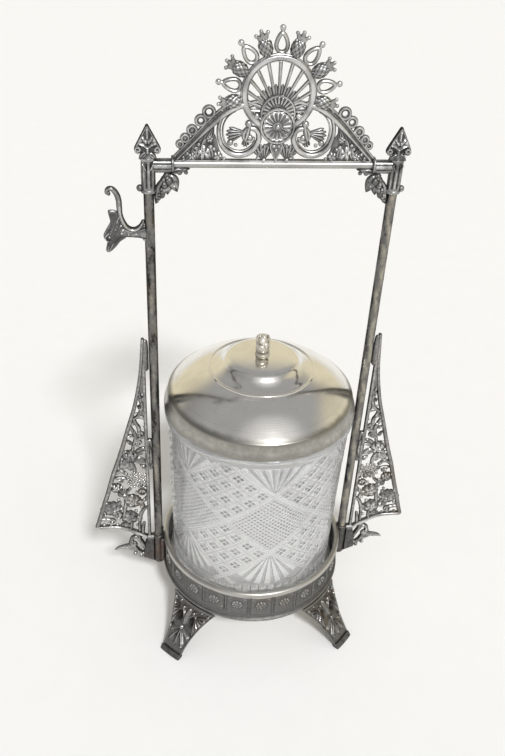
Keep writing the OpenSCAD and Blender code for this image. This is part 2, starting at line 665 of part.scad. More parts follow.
base_plate();
lower_rim();
gallery_band();
upper_rim();
foot_front_left();
foot_front_right();
foot_back_left();
foot_back_right();
socket_left();
socket_right();
upright_left();
upright_right();
wing_left();
wing_right();
elbow_left();
elbow_right();
spandrel_left();
spandrel_right();
arrow_left();
arrow_right();
crossbar();
collar_left();
collar_right();
crest();
crest_boss();
tong_hook();
jar();
lid_shell();
lid_bezel();
lid_finial();
lid_nut();
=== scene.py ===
"""Pickle castor: silver-plated frame with openwork castings, pressed glass jar and spun lid."""

import bmesh
import bpy
import numpy as np
from mathutils import Matrix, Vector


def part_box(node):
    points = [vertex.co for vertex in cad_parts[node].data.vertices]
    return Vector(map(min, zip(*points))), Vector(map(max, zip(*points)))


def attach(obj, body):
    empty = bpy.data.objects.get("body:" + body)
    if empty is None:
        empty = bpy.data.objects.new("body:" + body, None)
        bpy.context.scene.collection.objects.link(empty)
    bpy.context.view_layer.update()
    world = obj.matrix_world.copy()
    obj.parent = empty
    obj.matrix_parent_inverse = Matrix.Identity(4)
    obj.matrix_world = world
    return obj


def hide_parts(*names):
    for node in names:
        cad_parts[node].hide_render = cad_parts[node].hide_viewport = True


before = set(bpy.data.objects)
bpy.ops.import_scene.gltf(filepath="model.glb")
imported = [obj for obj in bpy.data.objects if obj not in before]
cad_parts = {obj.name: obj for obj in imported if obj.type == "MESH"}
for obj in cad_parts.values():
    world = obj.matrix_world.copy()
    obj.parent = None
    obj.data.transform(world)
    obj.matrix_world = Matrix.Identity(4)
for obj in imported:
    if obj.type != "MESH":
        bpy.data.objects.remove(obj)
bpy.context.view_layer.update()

MM = 0.001
TAU = 2 * np.pi


def span(node, axis):
    """A solid's lowest and highest place along one axis, in millimetres to the hundredth."""
    return [round(float(corner[axis]) / MM, 2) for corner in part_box(node)]


# Places that the pieces take from the solids, in millimetres
ROD_X = sum(span("upright_right", 0)) / 2
ROD_LO, ROD_HI = span("upright_right", 2)
BAR_Z = sum(span("crossbar", 2)) / 2
BASE_LO, GALLERY_LO = span("lower_rim", 2)
GALLERY_HI = span("upper_rim", 2)[0]
JAR_LO, JAR_HI = span("jar", 2)
LID_LO, LID_HI = span("lid_shell", 2)


# Curves in the drawing plane, x to the right and z up, in millimetres

def bow(p0, p1, p2, p3, n):
    """Cubic curve with four control points: (1-t)^3, 3t(1-t)^2, 3t^2(1-t) and t^3 times the points."""
    t = np.linspace(0, 1, n)[:, None]
    p0, p1, p2, p3 = (np.asarray(p, float) for p in (p0, p1, p2, p3))
    return (1 - t) ** 3 * p0 + 3 * t * (1 - t) ** 2 * p1 + 3 * t * t * (1 - t) * p2 + t ** 3 * p3


def turn(cx, cz, r0, r1, a0, a1, n):
    """Arc or spiral about (cx, cz): radius and angle in degrees both run evenly from start to end."""
    k = np.linspace(0, 1, n)
    a = np.radians(a0 + (a1 - a0) * k)
    r = r0 + (r1 - r0) * k
    return np.stack([cx + r * np.cos(a), cz + r * np.sin(a)], 1)


def circle(cx, cz, r, n):
    """Closed circle of n points: a whole turn without its last point."""
    return turn(cx, cz, r, r, 0, 360, n + 1)[:-1]


def through(points, n):
    """Smooth curve through points: on each span a cubic whose slope at a point is half the step between
    that point's neighbours; past each end the last step is repeated."""
    q = np.asarray(points, float)
    q = np.concatenate([q[:1] * 2 - q[1:2], q, q[-1:] * 2 - q[-2:-1]])
    t = np.linspace(0, len(points) - 1, n)
    i = np.minimum(t.astype(int), len(points) - 2)
    f = (t - i)[:, None]
    a, b, c, d = q[i], q[i + 1], q[i + 2], q[i + 3]
    square, cube = 2 * a - 5 * b + 4 * c - d, 3 * b - a - 3 * c + d
    return 0.5 * (2 * b + (c - a) * f + square * f ** 2 + cube * f ** 3)


def ring_through(points, n):
    """Smooth closed curve: the curve through the points and back to the first, without its last point."""
    return through([*points, points[0]], n)[:-1]


def polar(cx, cz, r, degrees):
    """Point at a distance and an angle from a centre."""
    a = np.radians(degrees)
    return cx + r * np.cos(a), cz + r * np.sin(a)


def beside(path):
    """Unit normals on the left of a path: its tangents turned by a quarter."""
    t = np.gradient(path, axis=0)
    return np.stack([-t[:, 1], t[:, 0]], 1) / np.linalg.norm(t, axis=1)[:, None]


def along(values, n):
    """Values spread evenly over n places, with straight steps between them; one value fills them all."""
    values = np.atleast_1d(values)
    return np.interp(np.linspace(0, 1, n), np.linspace(0, 1, len(values)), values)


def smooth(x, lo, hi):
    """Smooth step from 0 at lo to 1 at hi: 3k^2 - 2k^3 of the clipped share."""
    k = np.clip((x - lo) / (hi - lo), 0, 1)
    return k * k * (3 - 2 * k)


def between(x, lo0, lo1, hi0, hi1):
    """Smooth window: up from lo0 to lo1 and down again from hi0 to hi1."""
    return smooth(x, lo0, lo1) * (1 - smooth(x, hi0, hi1))


def bell(x, w):
    """Bell curve exp(-(x/w)^2)."""
    return np.exp(-(x / w) ** 2)


def on_line(x, z, x0, z0, x1, z1):
    """Share along a line, from 0 to 1, of the point on it that is nearest to (x, z), and how far that is."""
    dx, dz = x1 - x0, z1 - z0
    k = np.clip(((x - x0) * dx + (z - z0) * dz) / (dx ** 2 + dz ** 2), 0, 1)
    return k, np.hypot(x - x0 - k * dx, z - z0 - k * dz)


def around(n):
    """A row of n even angles, once round."""
    return np.linspace(0, TAU, n, endpoint=False)[None, :]


def grid_of(*arrays):
    """Grid whose entries hold one number from each array, all spread over the same rows and columns: x, y
    and z for a grid of points."""
    return np.stack(np.broadcast_arrays(*arrays), -1)


# Pieces: the factors that mirror points, and the relief on a casting's plain back
FLIP_X = np.array([-1.0, 1.0, 1.0])
FLIP_Y = np.array([1.0, -1.0, 1.0])
BACK_TONE = 0.3


class Casting:
    """Gathers closed surface patches, in millimetres, that make up one cast piece. Each point has a relief,
    0 in a hollow and 1 on a ridge, that its tarnish and rubbing follow; on the edges of tubes, the sides of
    the rods, the bevel of the arrowheads and the lid's shoulder it is lowered for painted shade."""

    def __init__(self):
        self.patches = []

    def add(self, points, wrap, relief, uv=None):
        """Takes a grid of points; each face joins four neighbours, round the end where wrap says so."""
        nu, nv = points.shape[:2]
        i = np.arange(nu if wrap[0] else nu - 1)[:, None]
        j = np.arange(nv if wrap[1] else nv - 1)[None, :]
        below, beyond = (i + 1) % nu, (j + 1) % nv
        quads = grid_of(i * nv + j, below * nv + j, below * nv + beyond, i * nv + beyond)
        flat_uv = np.zeros((nu * nv, 2)) if uv is None else uv.reshape(-1, 2)
        self.patches.append((points.reshape(-1, 3), quads.reshape(-1, 4),
                             np.broadcast_to(relief, (nu, nv)).reshape(-1), flat_uv))

    def moved(self, place):
        """A copy whose points went through place, a function of the whole point array."""
        other = Casting()
        other.patches = [(place(p), q, r, uv) for p, q, r, uv in self.patches]
        return other

    def on_rod(self):
        """A copy moved from the z axis to the right rod."""
        return self.moved(lambda p: p + np.array([ROD_X, 0, 0]))

    def for_side(self, sign):
        """Itself on the right, its mirror image on the left."""
        return self if sign > 0 else self.moved(lambda p: p * FLIP_X)

    def join(self, other):
        """Takes over another casting's patches."""
        self.patches += other.patches

    def tube(self, path, w, d, n, closed=False, lift=0.0, square=1.0, relief=0.0, tone=None):
        """Profile carried along a path in the drawing plane: at each point an ellipse, or with
        square below 1 a rounded box, of half-width w in the plane and half-depth d across it, each one
        value or some that spread along the path. Open ends are domed by quarter-circle rows that shrink
        to a point."""
        c = np.asarray(path, float)
        k, cap = len(c), 4
        w, d = along(w, k), along(d, k)
        t = np.roll(c, -1, 0) - np.roll(c, 1, 0) if closed else np.gradient(c, axis=0)
        t /= np.linalg.norm(t, axis=1)[:, None]
        scale = np.ones(k)
        if not closed:
            a = np.linspace(0, np.pi / 2, cap, endpoint=False)
            out = np.cos(a)[:, None] * (0.6 if square < 1 else 1.0)
            c = np.concatenate([c[:1] - t[:1] * w[0] * out, c, c[-1:] + t[-1:] * w[-1] * out[::-1]])
            scale = np.concatenate([np.sin(a), scale, np.sin(a)[::-1]]) ** (0.4 if square < 1 else 1)
            pad = lambda v: np.concatenate([np.repeat(v[:1], cap, 0), v, np.repeat(v[-1:], cap, 0)])
            w, d, t = pad(w), pad(d), pad(t)
        side = np.stack([-t[:, 1], t[:, 0]], 1)
        phi = around(n)[0] + TAU / (2 * n)
        across = (w * scale)[:, None] * (np.sign(np.cos(phi)) * np.abs(np.cos(phi)) ** square)
        deep = (d * scale)[:, None] * (np.sign(np.sin(phi)) * np.abs(np.sin(phi)) ** square)
        points = np.stack([c[:, :1] + across * side[:, :1], lift + deep, c[:, 1:] + across * side[:, 1:]], -1)
        # relief lower on the tube's sides in the drawing plane and higher on its front and back: painted
        # shade along the edges that turn away
        shade = np.clip(0.22 + 0.7 * np.abs(np.sin(phi)) ** 0.8 + relief, 0, 1)[None, :]
        self.add(points, (closed, True), shade if tone is None else tone)

    def bead(self, x, z, r, y=0.0, ry=None, rz=None, n=(7, 12), relief=0.8):
        """Ball or egg: latitude and longitude angles, each axis times its own radius."""
        ry, rz = r if ry is None else ry, r if rz is None else rz
        north = np.linspace(-np.pi / 2, np.pi / 2, n[0])[:, None]
        east = around(n[1])
        points = grid_of(x + r * np.cos(north) * np.cos(east), y + ry * np.cos(north) * np.sin(east),
                         z + rz * np.sin(north))
        self.add(points, (False, True), relief)

    def beads(self, rows, y, n=(7, 12), relief=0.8):
        """Balls at one depth: each row gives x, z and the radius."""
        for x, z, r in rows:
            self.bead(x, z, r, y, n=n, relief=relief)

    def leaf(self, x, z, angle, length, width, rise, lift, veins, back=0.5, n=(11, 7)):
        """Leaf from stem to tip: half-width width/2 * sin(pi*u^0.8)^0.9 along the length u, the front
        arched across its width with a groove down the middle and ripples for veins, the back flatter."""
        u = np.linspace(0, 1, n[0])[:, None]
        v = np.concatenate([np.linspace(-1, 1, n[1]), np.linspace(1, -1, n[1])[1:-1]])[None, :]
        front = np.concatenate([np.ones(n[1]), np.zeros(n[1] - 2)])[None, :]
        half = width / 2 * np.sin(np.pi * u ** 0.8) ** 0.9
        dome = np.sqrt(np.clip(1 - v * v, 0, 1)) * np.sin(np.pi * np.clip(u, 0.02, 0.98)) ** 0.5
        groove = 0.45 * bell(v, 0.2)
        ripple = 0.2 * np.cos(TAU * veins * (u - 0.3 * np.abs(v)))
        y = lift - front * rise * dome * (1 - groove + ripple) + (1 - front) * back * dome
        a = np.radians(angle)
        points = grid_of(x + np.cos(a) * length * u - np.sin(a) * (v * half), y,
                         z + np.sin(a) * length * u + np.cos(a) * (v * half))
        self.add(points, (False, True), np.clip(0.3 + 0.62 * dome * (1 - 1.3 * groove + ripple), 0, 1))

    def leaves(self, rows, *form, **grain):
        """Leaves of one form: each row gives x, z, angle, length and width."""
        for row in rows:
            self.leaf(*row, *form, **grain)

    def fan(self, x, z, angle, spread, length, ribs, rise, lift, root=0.12, back=0.5, scallop=0.14, n=8):
        """Fluted fan: polar grid about the root point, the edge scalloped by the ribs,
        the front rising towards the edge and ridged along each rib, the back flat."""
        r = np.linspace(0, 1, n)[:, None]
        there = np.linspace(0, 1, ribs * 6 + 1)
        k = np.concatenate([there, there[::-1][1:-1]])[None, :]
        front = np.concatenate([np.ones(len(there)), np.zeros(len(there) - 2)])[None, :]
        ridge = np.abs(np.sin(np.pi * ribs * k)) ** 0.7
        edge = length * (1 - scallop + scallop * ridge) * (0.8 + 0.2 * np.sin(np.pi * k))
        a = np.radians(angle + spread * (k - 0.5))
        rad = length * root + (edge - length * root) * r
        close = np.minimum(1, 6 * np.minimum(k, 1 - k)) ** 0.5
        close = close * np.sin(np.pi * np.clip(0.25 + 0.75 * r, 0, 1)) ** 0.4
        y = lift - front * rise * close * (0.35 + 0.65 * ridge * (0.3 + 0.7 * r)) + (1 - front) * back * close
        points = grid_of(x + rad * np.cos(a), y, z + rad * np.sin(a))
        rows = np.concatenate([points[:1] * 0 + points[:1].mean(1, keepdims=True), points, points[-1:]])
        tone = np.clip(0.3 + 0.65 * ridge * (0.35 + 0.65 * r) * close, 0, 1)
        self.add(rows, (False, True), np.concatenate([tone[:1], tone, tone[-1:]]))

    def disc(self, x, z, radius, height, tone, y0, thick, n, ring=None):
        """Round or lobed relief: polar grid whose front stands off by height(r, angle), r from 0 to 1,
        and whose outline is radius, times ring(angle) if given; the back is flat, thick behind."""
        r = np.linspace(0, 1, n[0])[:, None]
        a = around(n[1])
        out = radius * (ring(a) if ring else 1.0)
        h, shade = np.broadcast_arrays(height(r, a), tone(r, a))
        row = lambda k, y: grid_of(x + k * out * np.cos(a), y, z + k * out * np.sin(a))
        rear = y0 + thick + 0 * a
        points = np.concatenate([row(r, y0 - h), row(1.0, rear), row(0.0, rear)])
        self.add(points, (False, True),
                 np.concatenate([np.broadcast_to(shade, n), np.full((2, n[1]), BACK_TONE)]))

    def flower(self, x, z, r, lift, petals, spin, rise):
        """Flower: a lobed disc, its outline and height rising with |cos| of the petal angle, hollow
        towards the middle, with a ball in the centre."""
        lobe = lambda a: np.abs(np.cos(petals / 2 * (a - np.radians(spin))))
        swell = lambda q: np.sin(np.pi * (0.12 + 0.83 * q)) ** 1.2
        shine = lambda q, a: 0.25 + 0.75 * lobe(a) ** 0.6 * np.sin(np.pi * (0.15 + 0.75 * q))
        self.disc(x, z, r, lambda q, a: rise * (0.15 + 0.85 * swell(q) * (0.3 + 0.7 * lobe(a) ** 0.7)),
                  lambda q, a: np.clip(shine(q, a), 0, 1), lift, 0.7, (7, petals * 8),
                  lambda a: 0.66 + 0.34 * lobe(a) ** 0.6)
        self.bead(x, z, r * 0.24, lift - rise * 0.62, relief=0.95, n=(5, 8))

    def plate(self, outline, centre, height, tone, y0, thick, rows):
        """Relief plate: rays from the centre to each point of a star-shaped outline; the front stands
        off by height(share along the ray, x, z), the back is flat."""
        o = np.asarray(outline, float)[None, :, :]
        k = np.linspace(0, 1, rows)[:, None]
        xz = np.asarray(centre, float) + (o - np.asarray(centre, float)) * k[..., None]
        h = np.broadcast_to(height(k, xz[..., 0], xz[..., 1]), xz.shape[:2])
        shade = np.broadcast_to(tone(k, xz[..., 0], xz[..., 1]), xz.shape[:2])
        lay = lambda q, y: grid_of(q[..., 0], y, q[..., 1])
        points = np.concatenate([lay(xz, y0 - h), lay(xz[-1:], y0 + thick), lay(xz[:1], y0 + thick)])
        self.add(points, (False, True), np.concatenate([shade, np.full((2, o.shape[1]), BACK_TONE)]))

    def two_faced(self, outline, centre, height, tone, rows):
        """Relief plate with no thickness of its own, and its mirror image behind it."""
        face = Casting()
        face.plate(outline, centre, height, tone, 0.0, 0.0, rows)
        self.join(face)
        self.join(face.moved(lambda p: p * FLIP_Y))

    def spun(self, profile, n, relief, closed=True, wave=None):
        """Profile of radius and height turned about the z axis, its radius changed by
        wave(angle, height) if given; closed profiles join end to start."""
        q = np.asarray(profile, float)
        a = around(n)
        r = q[:, :1] + (wave(a, q[:, 1:]) if wave else 0)
        self.add(grid_of(r * np.cos(a), r * np.sin(a), q[:, 1:]), (closed, True), relief)


def make_piece(name, casting, material, node, body="frame", crease=38.0):
    """Joins a casting's patches into one mesh in metres, which stands for a solid: equal points merge, so
    that poles and seams close, normals turn outwards, and edges sharper than crease stay crisp."""
    points, quads, relief, uv = zip(*casting.patches)
    starts = np.cumsum([0] + [len(p) for p in points])
    corners = np.concatenate([q + start for q, start in zip(quads, starts)]).astype(np.int32).ravel()
    mesh = bpy.data.meshes.new(name)
    mesh.vertices.add(int(starts[-1]))
    mesh.vertices.foreach_set("co", (np.concatenate(points) * MM).astype(np.float32).ravel())
    mesh.loops.add(corners.size)
    mesh.loops.foreach_set("vertex_index", corners)
    mesh.polygons.add(corners.size // 4)
    mesh.polygons.foreach_set("loop_start", np.arange(0, corners.size, 4, dtype=np.int32))
    mesh.update(calc_edges=True)
    heights = np.concatenate(relief).astype(np.float32)
    mesh.attributes.new("relief", "FLOAT", "POINT").data.foreach_set("value", heights)
    pattern = np.concatenate(uv).astype(np.float32)
    if np.any(pattern):
        mesh.uv_layers.new(name="pattern").data.foreach_set("uv", pattern[corners].ravel())
    bm = bmesh.new()
    bm.from_mesh(mesh)
    bmesh.ops.remove_doubles(bm, verts=bm.verts, dist=2e-6)
    bmesh.ops.recalc_face_normals(bm, faces=bm.faces)
    bm.to_mesh(mesh)
    bm.free()
    mesh.polygons.foreach_set("use_smooth", np.ones(len(mesh.polygons), dtype=bool))
    mesh.set_sharp_from_angle(angle=np.radians(crease))
    mesh.materials.append(material)
    obj = bpy.data.objects.new(name, mesh)
    bpy.context.scene.collection.objects.link(obj)
    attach(obj, body)
    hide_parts(node)


# Node wiring

def put(tree, kind, values=None, **settings):
    """Adds a shader node with its settings and socket values."""
    node = tree.nodes.new(kind)
    for key, value in settings.items():
        setattr(node, key, value)
    for key, value in (values or {}).items():
        node.inputs[key].default_value = value
    return node


class Wire:
    """A node's output that arithmetic works on: each sign adds a maths node to its tree."""

    def __init__(self, tree, socket):
        self.tree = tree
        self.socket = socket

    def __add__(self, other):
        return maths("ADD", self, other)

    def __sub__(self, other):
        return maths("SUBTRACT", self, other)

    def __rsub__(self, other):
        return maths("SUBTRACT", other, self)

    def __mul__(self, other):
        return maths("MULTIPLY", self, other)

    def ramp(self, lo, hi, to_lo=0.0, to_hi=1.0):
        """Adds a smooth map from one range to another."""
        node = put(self.tree, "ShaderNodeMapRange", {1: lo, 2: hi, 3: to_lo, 4: to_hi},
                   interpolation_type="SMOOTHSTEP")
        return self.into(node.inputs[0], node.outputs[0])

    def into(self, socket, result=None):
        """Links the wire to a socket, and gives the result of that node as the next wire."""
        self.tree.links.new(self.socket, socket)
        return Wire(self.tree, result)


def feed(value, socket):
    """Links a wire to a socket, or sets the socket to a number or a colour."""
    if isinstance(value, Wire):
        value.into(socket)
    else:
        socket.default_value = value


def maths(operation, *values, clamp=False):
    """Adds a maths node on wires and numbers."""
    tree = next(value.tree for value in values if isinstance(value, Wire))
    node = put(tree, "ShaderNodeMath", operation=operation, use_clamp=clamp)
    for value, socket in zip(values, node.inputs):
        feed(value, socket)
    return Wire(tree, node.outputs[0])


def mix(factor, a, b):
    """Adds a colour mix by a wire; a and b are wires or colours."""
    node = put(factor.tree, "ShaderNodeMix", data_type="RGBA")
    for value, k in ((factor, 0), (a, 6), (b, 7)):
        feed(value, node.inputs[k])
    return Wire(factor.tree, node.outputs[2])


def noise(where, scale, detail, rough):
    """Adds a noise texture at the coordinates that a wire gives."""
    node = put(where.tree, "ShaderNodeTexNoise", {"Scale": scale, "Detail": detail, "Roughness": rough})
    return where.into(node.inputs["Vector"], node.outputs["Fac"])


def stretched(where, scale):
    """Adds a mapping that scales the coordinates unevenly, for streaks."""
    node = put(where.tree, "ShaderNodeMapping", {"Scale": scale})
    return where.into(node.inputs["Vector"], node.outputs[0])


def parts(vector):
    """Adds a node that takes a vector apart into three wires."""
    node = put(vector.tree, "ShaderNodeSeparateXYZ")
    vector.into(node.inputs[0])
    return [Wire(vector.tree, socket) for socket in node.outputs]


def coordinates(tree, kind="Object"):
    """Adds texture coordinates."""
    return Wire(tree, put(tree, "ShaderNodeTexCoord").outputs[kind])


def relief_of_piece(tree):
    """Adds the piece's own relief attribute."""
    return Wire(tree, put(tree, "ShaderNodeAttribute", attribute_name="relief").outputs["Fac"])


# Effects that several materials share

def new_group(name, values):
    """Starts a node group: its inputs by name, each with its number or colour, and the three outputs that a
    surface takes. Gives the group, its input wires and its output sockets."""
    group = bpy.data.node_groups.new(name, "ShaderNodeTree")
    for label, value in values.items():
        kind = "NodeSocketColor" if isinstance(value, tuple) else "NodeSocketFloat"
        group.interface.new_socket(name=label, in_out="INPUT", socket_type=kind).default_value = value
    for label, kind in (("Color", "NodeSocketColor"), ("Roughness", "NodeSocketFloat"),
                        ("Height", "NodeSocketFloat")):
        group.interface.new_socket(name=label, in_out="OUTPUT", socket_type=kind)
    inputs = group.nodes.new("NodeGroupInput").outputs
    wires = {label: Wire(group, inputs[label]) for label in values}
    return group, wires, group.nodes.new("NodeGroupOutput").inputs


def make_tarnish_and_shade():
    """Tarnish on cast silver plate: black in the hollows, grey on the flats, bright where it is
    rubbed, brown in patches. Relief is 0 in a hollow and 1 on a ridge; where a piece lowers its relief for
    painted shade, the darker colours it gets are painted shade."""
    group, take, give = new_group("tarnish", {
        "Relief": 0.6, "Hollow": (0.02, 0.02, 0.019, 1), "Flat": (0.26, 0.258, 0.25, 1),
        "Rubbed": (0.6, 0.59, 0.57, 1), "Brown": (0.16, 0.105, 0.06, 1), "Patches": 0.35, "Dull": 0.0})
    where = coordinates(group)
    coarse = noise(where, 95.0, 5.0, 0.6)
    fine = noise(where, 620.0, 4.0, 0.6)
    grain = noise(where, 2400.0, 2.0, 0.5)
    level = take["Relief"] + (fine - 0.5) * 0.55
    colour = mix(level.ramp(0.12, 0.55), take["Hollow"], take["Flat"])
    colour = mix(level.ramp(0.55, 0.98) * coarse.ramp(0.3, 0.62), colour, take["Rubbed"])
    brown = noise(where, 38.0, 4.0, 0.65).ramp(0.52, 0.7) * take["Patches"]
    mix(brown, colour, take["Brown"]).into(give["Color"])
    rough = level.ramp(0.1, 0.9, 0.56, 0.25) + (grain - 0.5) * 0.16
    (rough + take["Dull"] + brown * 0.2).into(give["Roughness"])
    (fine * 0.7 + grain * 0.3).into(give["Height"])
    return group


def make_rubbing():
    """Rubbing marks on polished plate: fine scratches in two directions, cloudy smears, specks, and a duller
    darker colour where the relief is low, which is worn plate, and on the lid's shoulder painted shade."""
    group, take, give = new_group("rubbing", {
        "Bright": (0.86, 0.84, 0.8, 1), "Smeared": (0.66, 0.64, 0.6, 1), "Speck": (0.2, 0.18, 0.15, 1),
        "Gloss": 0.12, "Worn_and_shade": (0.29, 0.278, 0.252, 1), "Relief": 1.0})
    where = coordinates(group)
    smear = noise(where, 46.0, 5.0, 0.6).ramp(0.4, 0.72)
    lines = noise(stretched(where, (3000.0, 160.0, 400.0)), 1.0, 2.0, 0.5)
    cross = noise(stretched(where, (180.0, 2600.0, 500.0)), 1.0, 2.0, 0.5)
    marks = maths("ADD", lines.ramp(0.62, 0.78), cross.ramp(0.64, 0.8), clamp=True)
    spots = noise(where, 520.0, 3.0, 0.7).ramp(0.66, 0.76)
    mottle = (noise(where, 240.0, 5.0, 0.7) - 0.5) * 0.5
    wear_and_shade = (take["Relief"] + mottle).ramp(0.1, 0.75, 1.0, 0.0)
    colour = mix(smear * 0.6, take["Bright"], take["Smeared"])
    # the darker colour where the relief is low: worn plate, and painted shade on the lid's shoulder
    colour = mix(wear_and_shade, colour, take["Worn_and_shade"])
    colour = mix(marks * 0.35, colour, take["Smeared"])
    mix(spots * 0.3, colour, take["Speck"]).into(give["Color"])
    (take["Gloss"] + smear * 0.07 + wear_and_shade * 0.2 + marks * 0.06).into(give["Roughness"])
    marks.into(give["Height"])
    return group


TARNISH_AND_SHADE = make_tarnish_and_shade()
RUBBING = make_rubbing()


# Materials

def blank(name, **values):
    """New material with a shader, whose sockets take the values given, and an output."""
    mat = bpy.data.materials.new(name)
    mat.use_nodes = True
    tree = mat.node_tree
    tree.nodes.clear()
    shader = put(tree, "ShaderNodeBsdfPrincipled", {key.replace("_", " "): v for key, v in values.items()})
    out = put(tree, "ShaderNodeOutputMaterial")
    tree.links.new(shader.outputs[0], out.inputs[0])
    return mat, tree, shader, out


def bump(height, shader, strength, distance):
    """Adds a bump of a height wire on the shader."""
    node = put(height.tree, "ShaderNodeBump", {"Strength": strength, "Distance": distance})
    height.into(node.inputs["Height"], node.outputs[0]).into(shader.inputs["Normal"])


def dress(tree, shader, effect, relief, values, strength, distance):
    """Puts an effect group on a shader's colour, gloss and bump; its relief is the piece's own attribute,
    or one number for a solid that has none."""
    group = put(tree, "ShaderNodeGroup", values, node_tree=effect)
    feed(relief_of_piece(tree) if relief is None else relief, group.inputs["Relief"])
    tree.links.new(group.outputs["Color"], shader.inputs["Base Color"])
    tree.links.new(group.outputs["Roughness"], shader.inputs["Roughness"])
    bump(Wire(tree, group.outputs["Height"]), shader, strength, distance)


def cast_silver(name, relief=None, metal=1.0, **values):
    """Cast silver plate under tarnish. With metal below 1 the tarnish is so thick that it shades like
    dull paint."""
    mat, tree, shader, _ = blank(name, Metallic=metal, Specular_IOR_Level=0.3,
                                 Specular_Tint=(0.25, 0.25, 0.25, 1))
    dress(tree, shader, TARNISH_AND_SHADE, relief, values, 0.28, 0.00025)
    return mat


def polished_silver(name, relief=None, **values):
    """Polished silver plate with rubbing marks."""
    mat, tree, shader, _ = blank(name, Metallic=1.0)
    dress(tree, shader, RUBBING, relief, values, 0.03, 0.0001)
    return mat


# Half a repeat of the jar's lattice, in degrees and as an arc and a height in millimetres, the height of
# its middle, and the angle of a fan's axis
LATTICE_DEG, LATTICE_W, LATTICE_H = 30.0, 21.6, 18.0
LATTICE_Z, LATTICE_AXIS = 81.3, -86.0
# Degrees from one petal of a fan to the next, and the number and the top of the flutes round the foot
PETAL_STEP = 14.5
FLUTES, FLUTES_HI = 64, 41.4


def square_cuts(p, q):
    """Cells of squares: how much painted shade the fine squares get and how much painted glint the joints
    between them, then the same for blocks of four squares between strips."""
    teeth = lambda k: [maths("PINGPONG", v * k, 0.5) for v in (p, q)]
    tooth = lambda k: maths("MINIMUM", *teeth(k))
    fine = tooth(8.0)
    block = tooth(2.0).ramp(0.25, 0.28) * tooth(4.0).ramp(0.05, 0.12)
    ways = teeth(2.0)
    strip_line = maths("MAXIMUM", *(v.ramp(0.16, 0.18) * v.ramp(0.2, 0.22, 1.0, 0.0) for v in ways))
    strip_dip = maths("MAXIMUM", *(v.ramp(0.02, 0.05, 1.0, 0.0) for v in ways))
    return (fine.ramp(0.2, 0.28) * 0.95, fine.ramp(0.04, 0.1, 0.7, 0.0),
            maths("MAXIMUM", block, strip_dip * 0.45), strip_line)


def fan_petals(p, q, way):
    """Petals of a fan cell, from a cell's own p and q: a cosine of the angle about its lower corner, or with
    way -1 its upper one, which fades out near that corner and at the far end."""
    across = (p - q) * (LATTICE_W / 2)
    rise = (p + q) * (LATTICE_H / 2) * way + LATTICE_H
    spoke = maths("ABSOLUTE", maths("COSINE", maths("ARCTAN2", across, rise) * (180 / PETAL_STEP)))
    reach = maths("SQRT", across * across + rise * rise)
    return spoke.ramp(0.35, 0.75) * reach.ramp(2.5, 5.0) * reach.ramp(20.0, 22.0, 1.0, 0.0)


def cut_lattice(p, q, body):
    """Lattice of cuts: how much painted shade the glass gets, and how much painted glint its lines get. The
    two coordinates run along the two directions of the lattice, with a band of two lines at odd values. The
    sum of a cell's indices tells fine squares, blocks and fans apart."""
    half = [(v + 1.0) * 0.5 for v in (p, q)]
    index = maths("FLOOR", half[0]) + maths("FLOOR", half[1])
    kind = maths("ABSOLUTE", index)
    local = [maths("FRACT", v) * 2.0 - 1.0 for v in half]
    edge = 1.0 - maths("MAXIMUM", *(maths("ABSOLUTE", v) for v in local))
    inside = edge.ramp(0.075, 0.1)
    band = maths("MAXIMUM", edge.ramp(0.0, 0.03, 1.0, 0.0),
                 edge.ramp(0.05, 0.065) * edge.ramp(0.075, 0.09, 1.0, 0.0))
    is_fan = maths("GREATER_THAN", kind, 1.5)
    is_block = maths("GREATER_THAN", kind, 0.5) - is_fan
    is_fine = maths("LESS_THAN", kind, 0.5)
    fine, fine_line, block, block_line = square_cuts(p, q)
    ground = (1.0 - fan_petals(*local, maths("SIGN", index))) * 0.68
    dark = (fine * is_fine + block * is_block + ground * is_fan) * inside * body
    return dark, maths("MAXIMUM", band, (block_line * is_block + fine_line * is_fine) * inside)


def pressed_glass(name):
    """Clear pressed glass. Its pattern map gives the place in the lattice; the cuts, and the joints of the
    flutes round the foot, bump the glass and darken its colour as painted shade; its lines and the foot get
    painted glints, colour turned towards white."""
    mat, tree, shader, out = blank(name, Transmission_Weight=0.84, IOR=1.5)
    where = coordinates(tree)
    seed = noise(where, 160.0, 3.0, 0.5)
    noise(where, 55.0, 4.0, 0.6).ramp(0.35, 0.75, 0.02, 0.08).into(shader.inputs["Roughness"])
    p, q, _ = parts(Wire(tree, put(tree, "ShaderNodeUVMap", uv_map="pattern").outputs[0]))
    body = relief_of_piece(tree)
    dark, line = cut_lattice(p, q, body)
    low = maths("LESS_THAN", p + q, 2 * (FLUTES_HI - LATTICE_Z) / LATTICE_H)
    turns = (p - q) * (FLUTES * LATTICE_DEG / 720)
    joint = maths("PINGPONG", turns, 0.5).ramp(0.03, 0.09, 1.0, 0.0) * low
    # joints between the flutes darken the colour too: painted shade
    dark = dark + joint * 0.7
    painted_shade_colour = mix(dark * seed.ramp(0.3, 0.7, 0.65, 1.0), (0.98, 0.985, 0.99, 1), (0.16, 0.163, 0.166, 1))
    # lattice lines and the band round the foot turn the colour white: painted glints
    bright = maths("MAXIMUM", line * body, low * 0.6) * (1.0 - joint)
    mix(bright, painted_shade_colour, (1.0, 1.0, 1.0, 1)).into(shader.inputs["Base Color"])
    bump(line * 0.5 - dark + seed * 0.15, shader, 0.75, 0.0005)
    # light that would throw a shadow passes through the glass
    clear = put(tree, "ShaderNodeBsdfTransparent", {"Color": (0.985, 0.988, 0.986, 1)})
    either = put(tree, "ShaderNodeMixShader")
    shadow = put(tree, "ShaderNodeLightPath").outputs["Is Shadow Ray"]
    for socket, entry in zip((shadow, shader.outputs[0], clear.outputs[0]), either.inputs):
        tree.links.new(socket, entry)
    tree.links.new(either.outputs[0], out.inputs[0])
    return mat


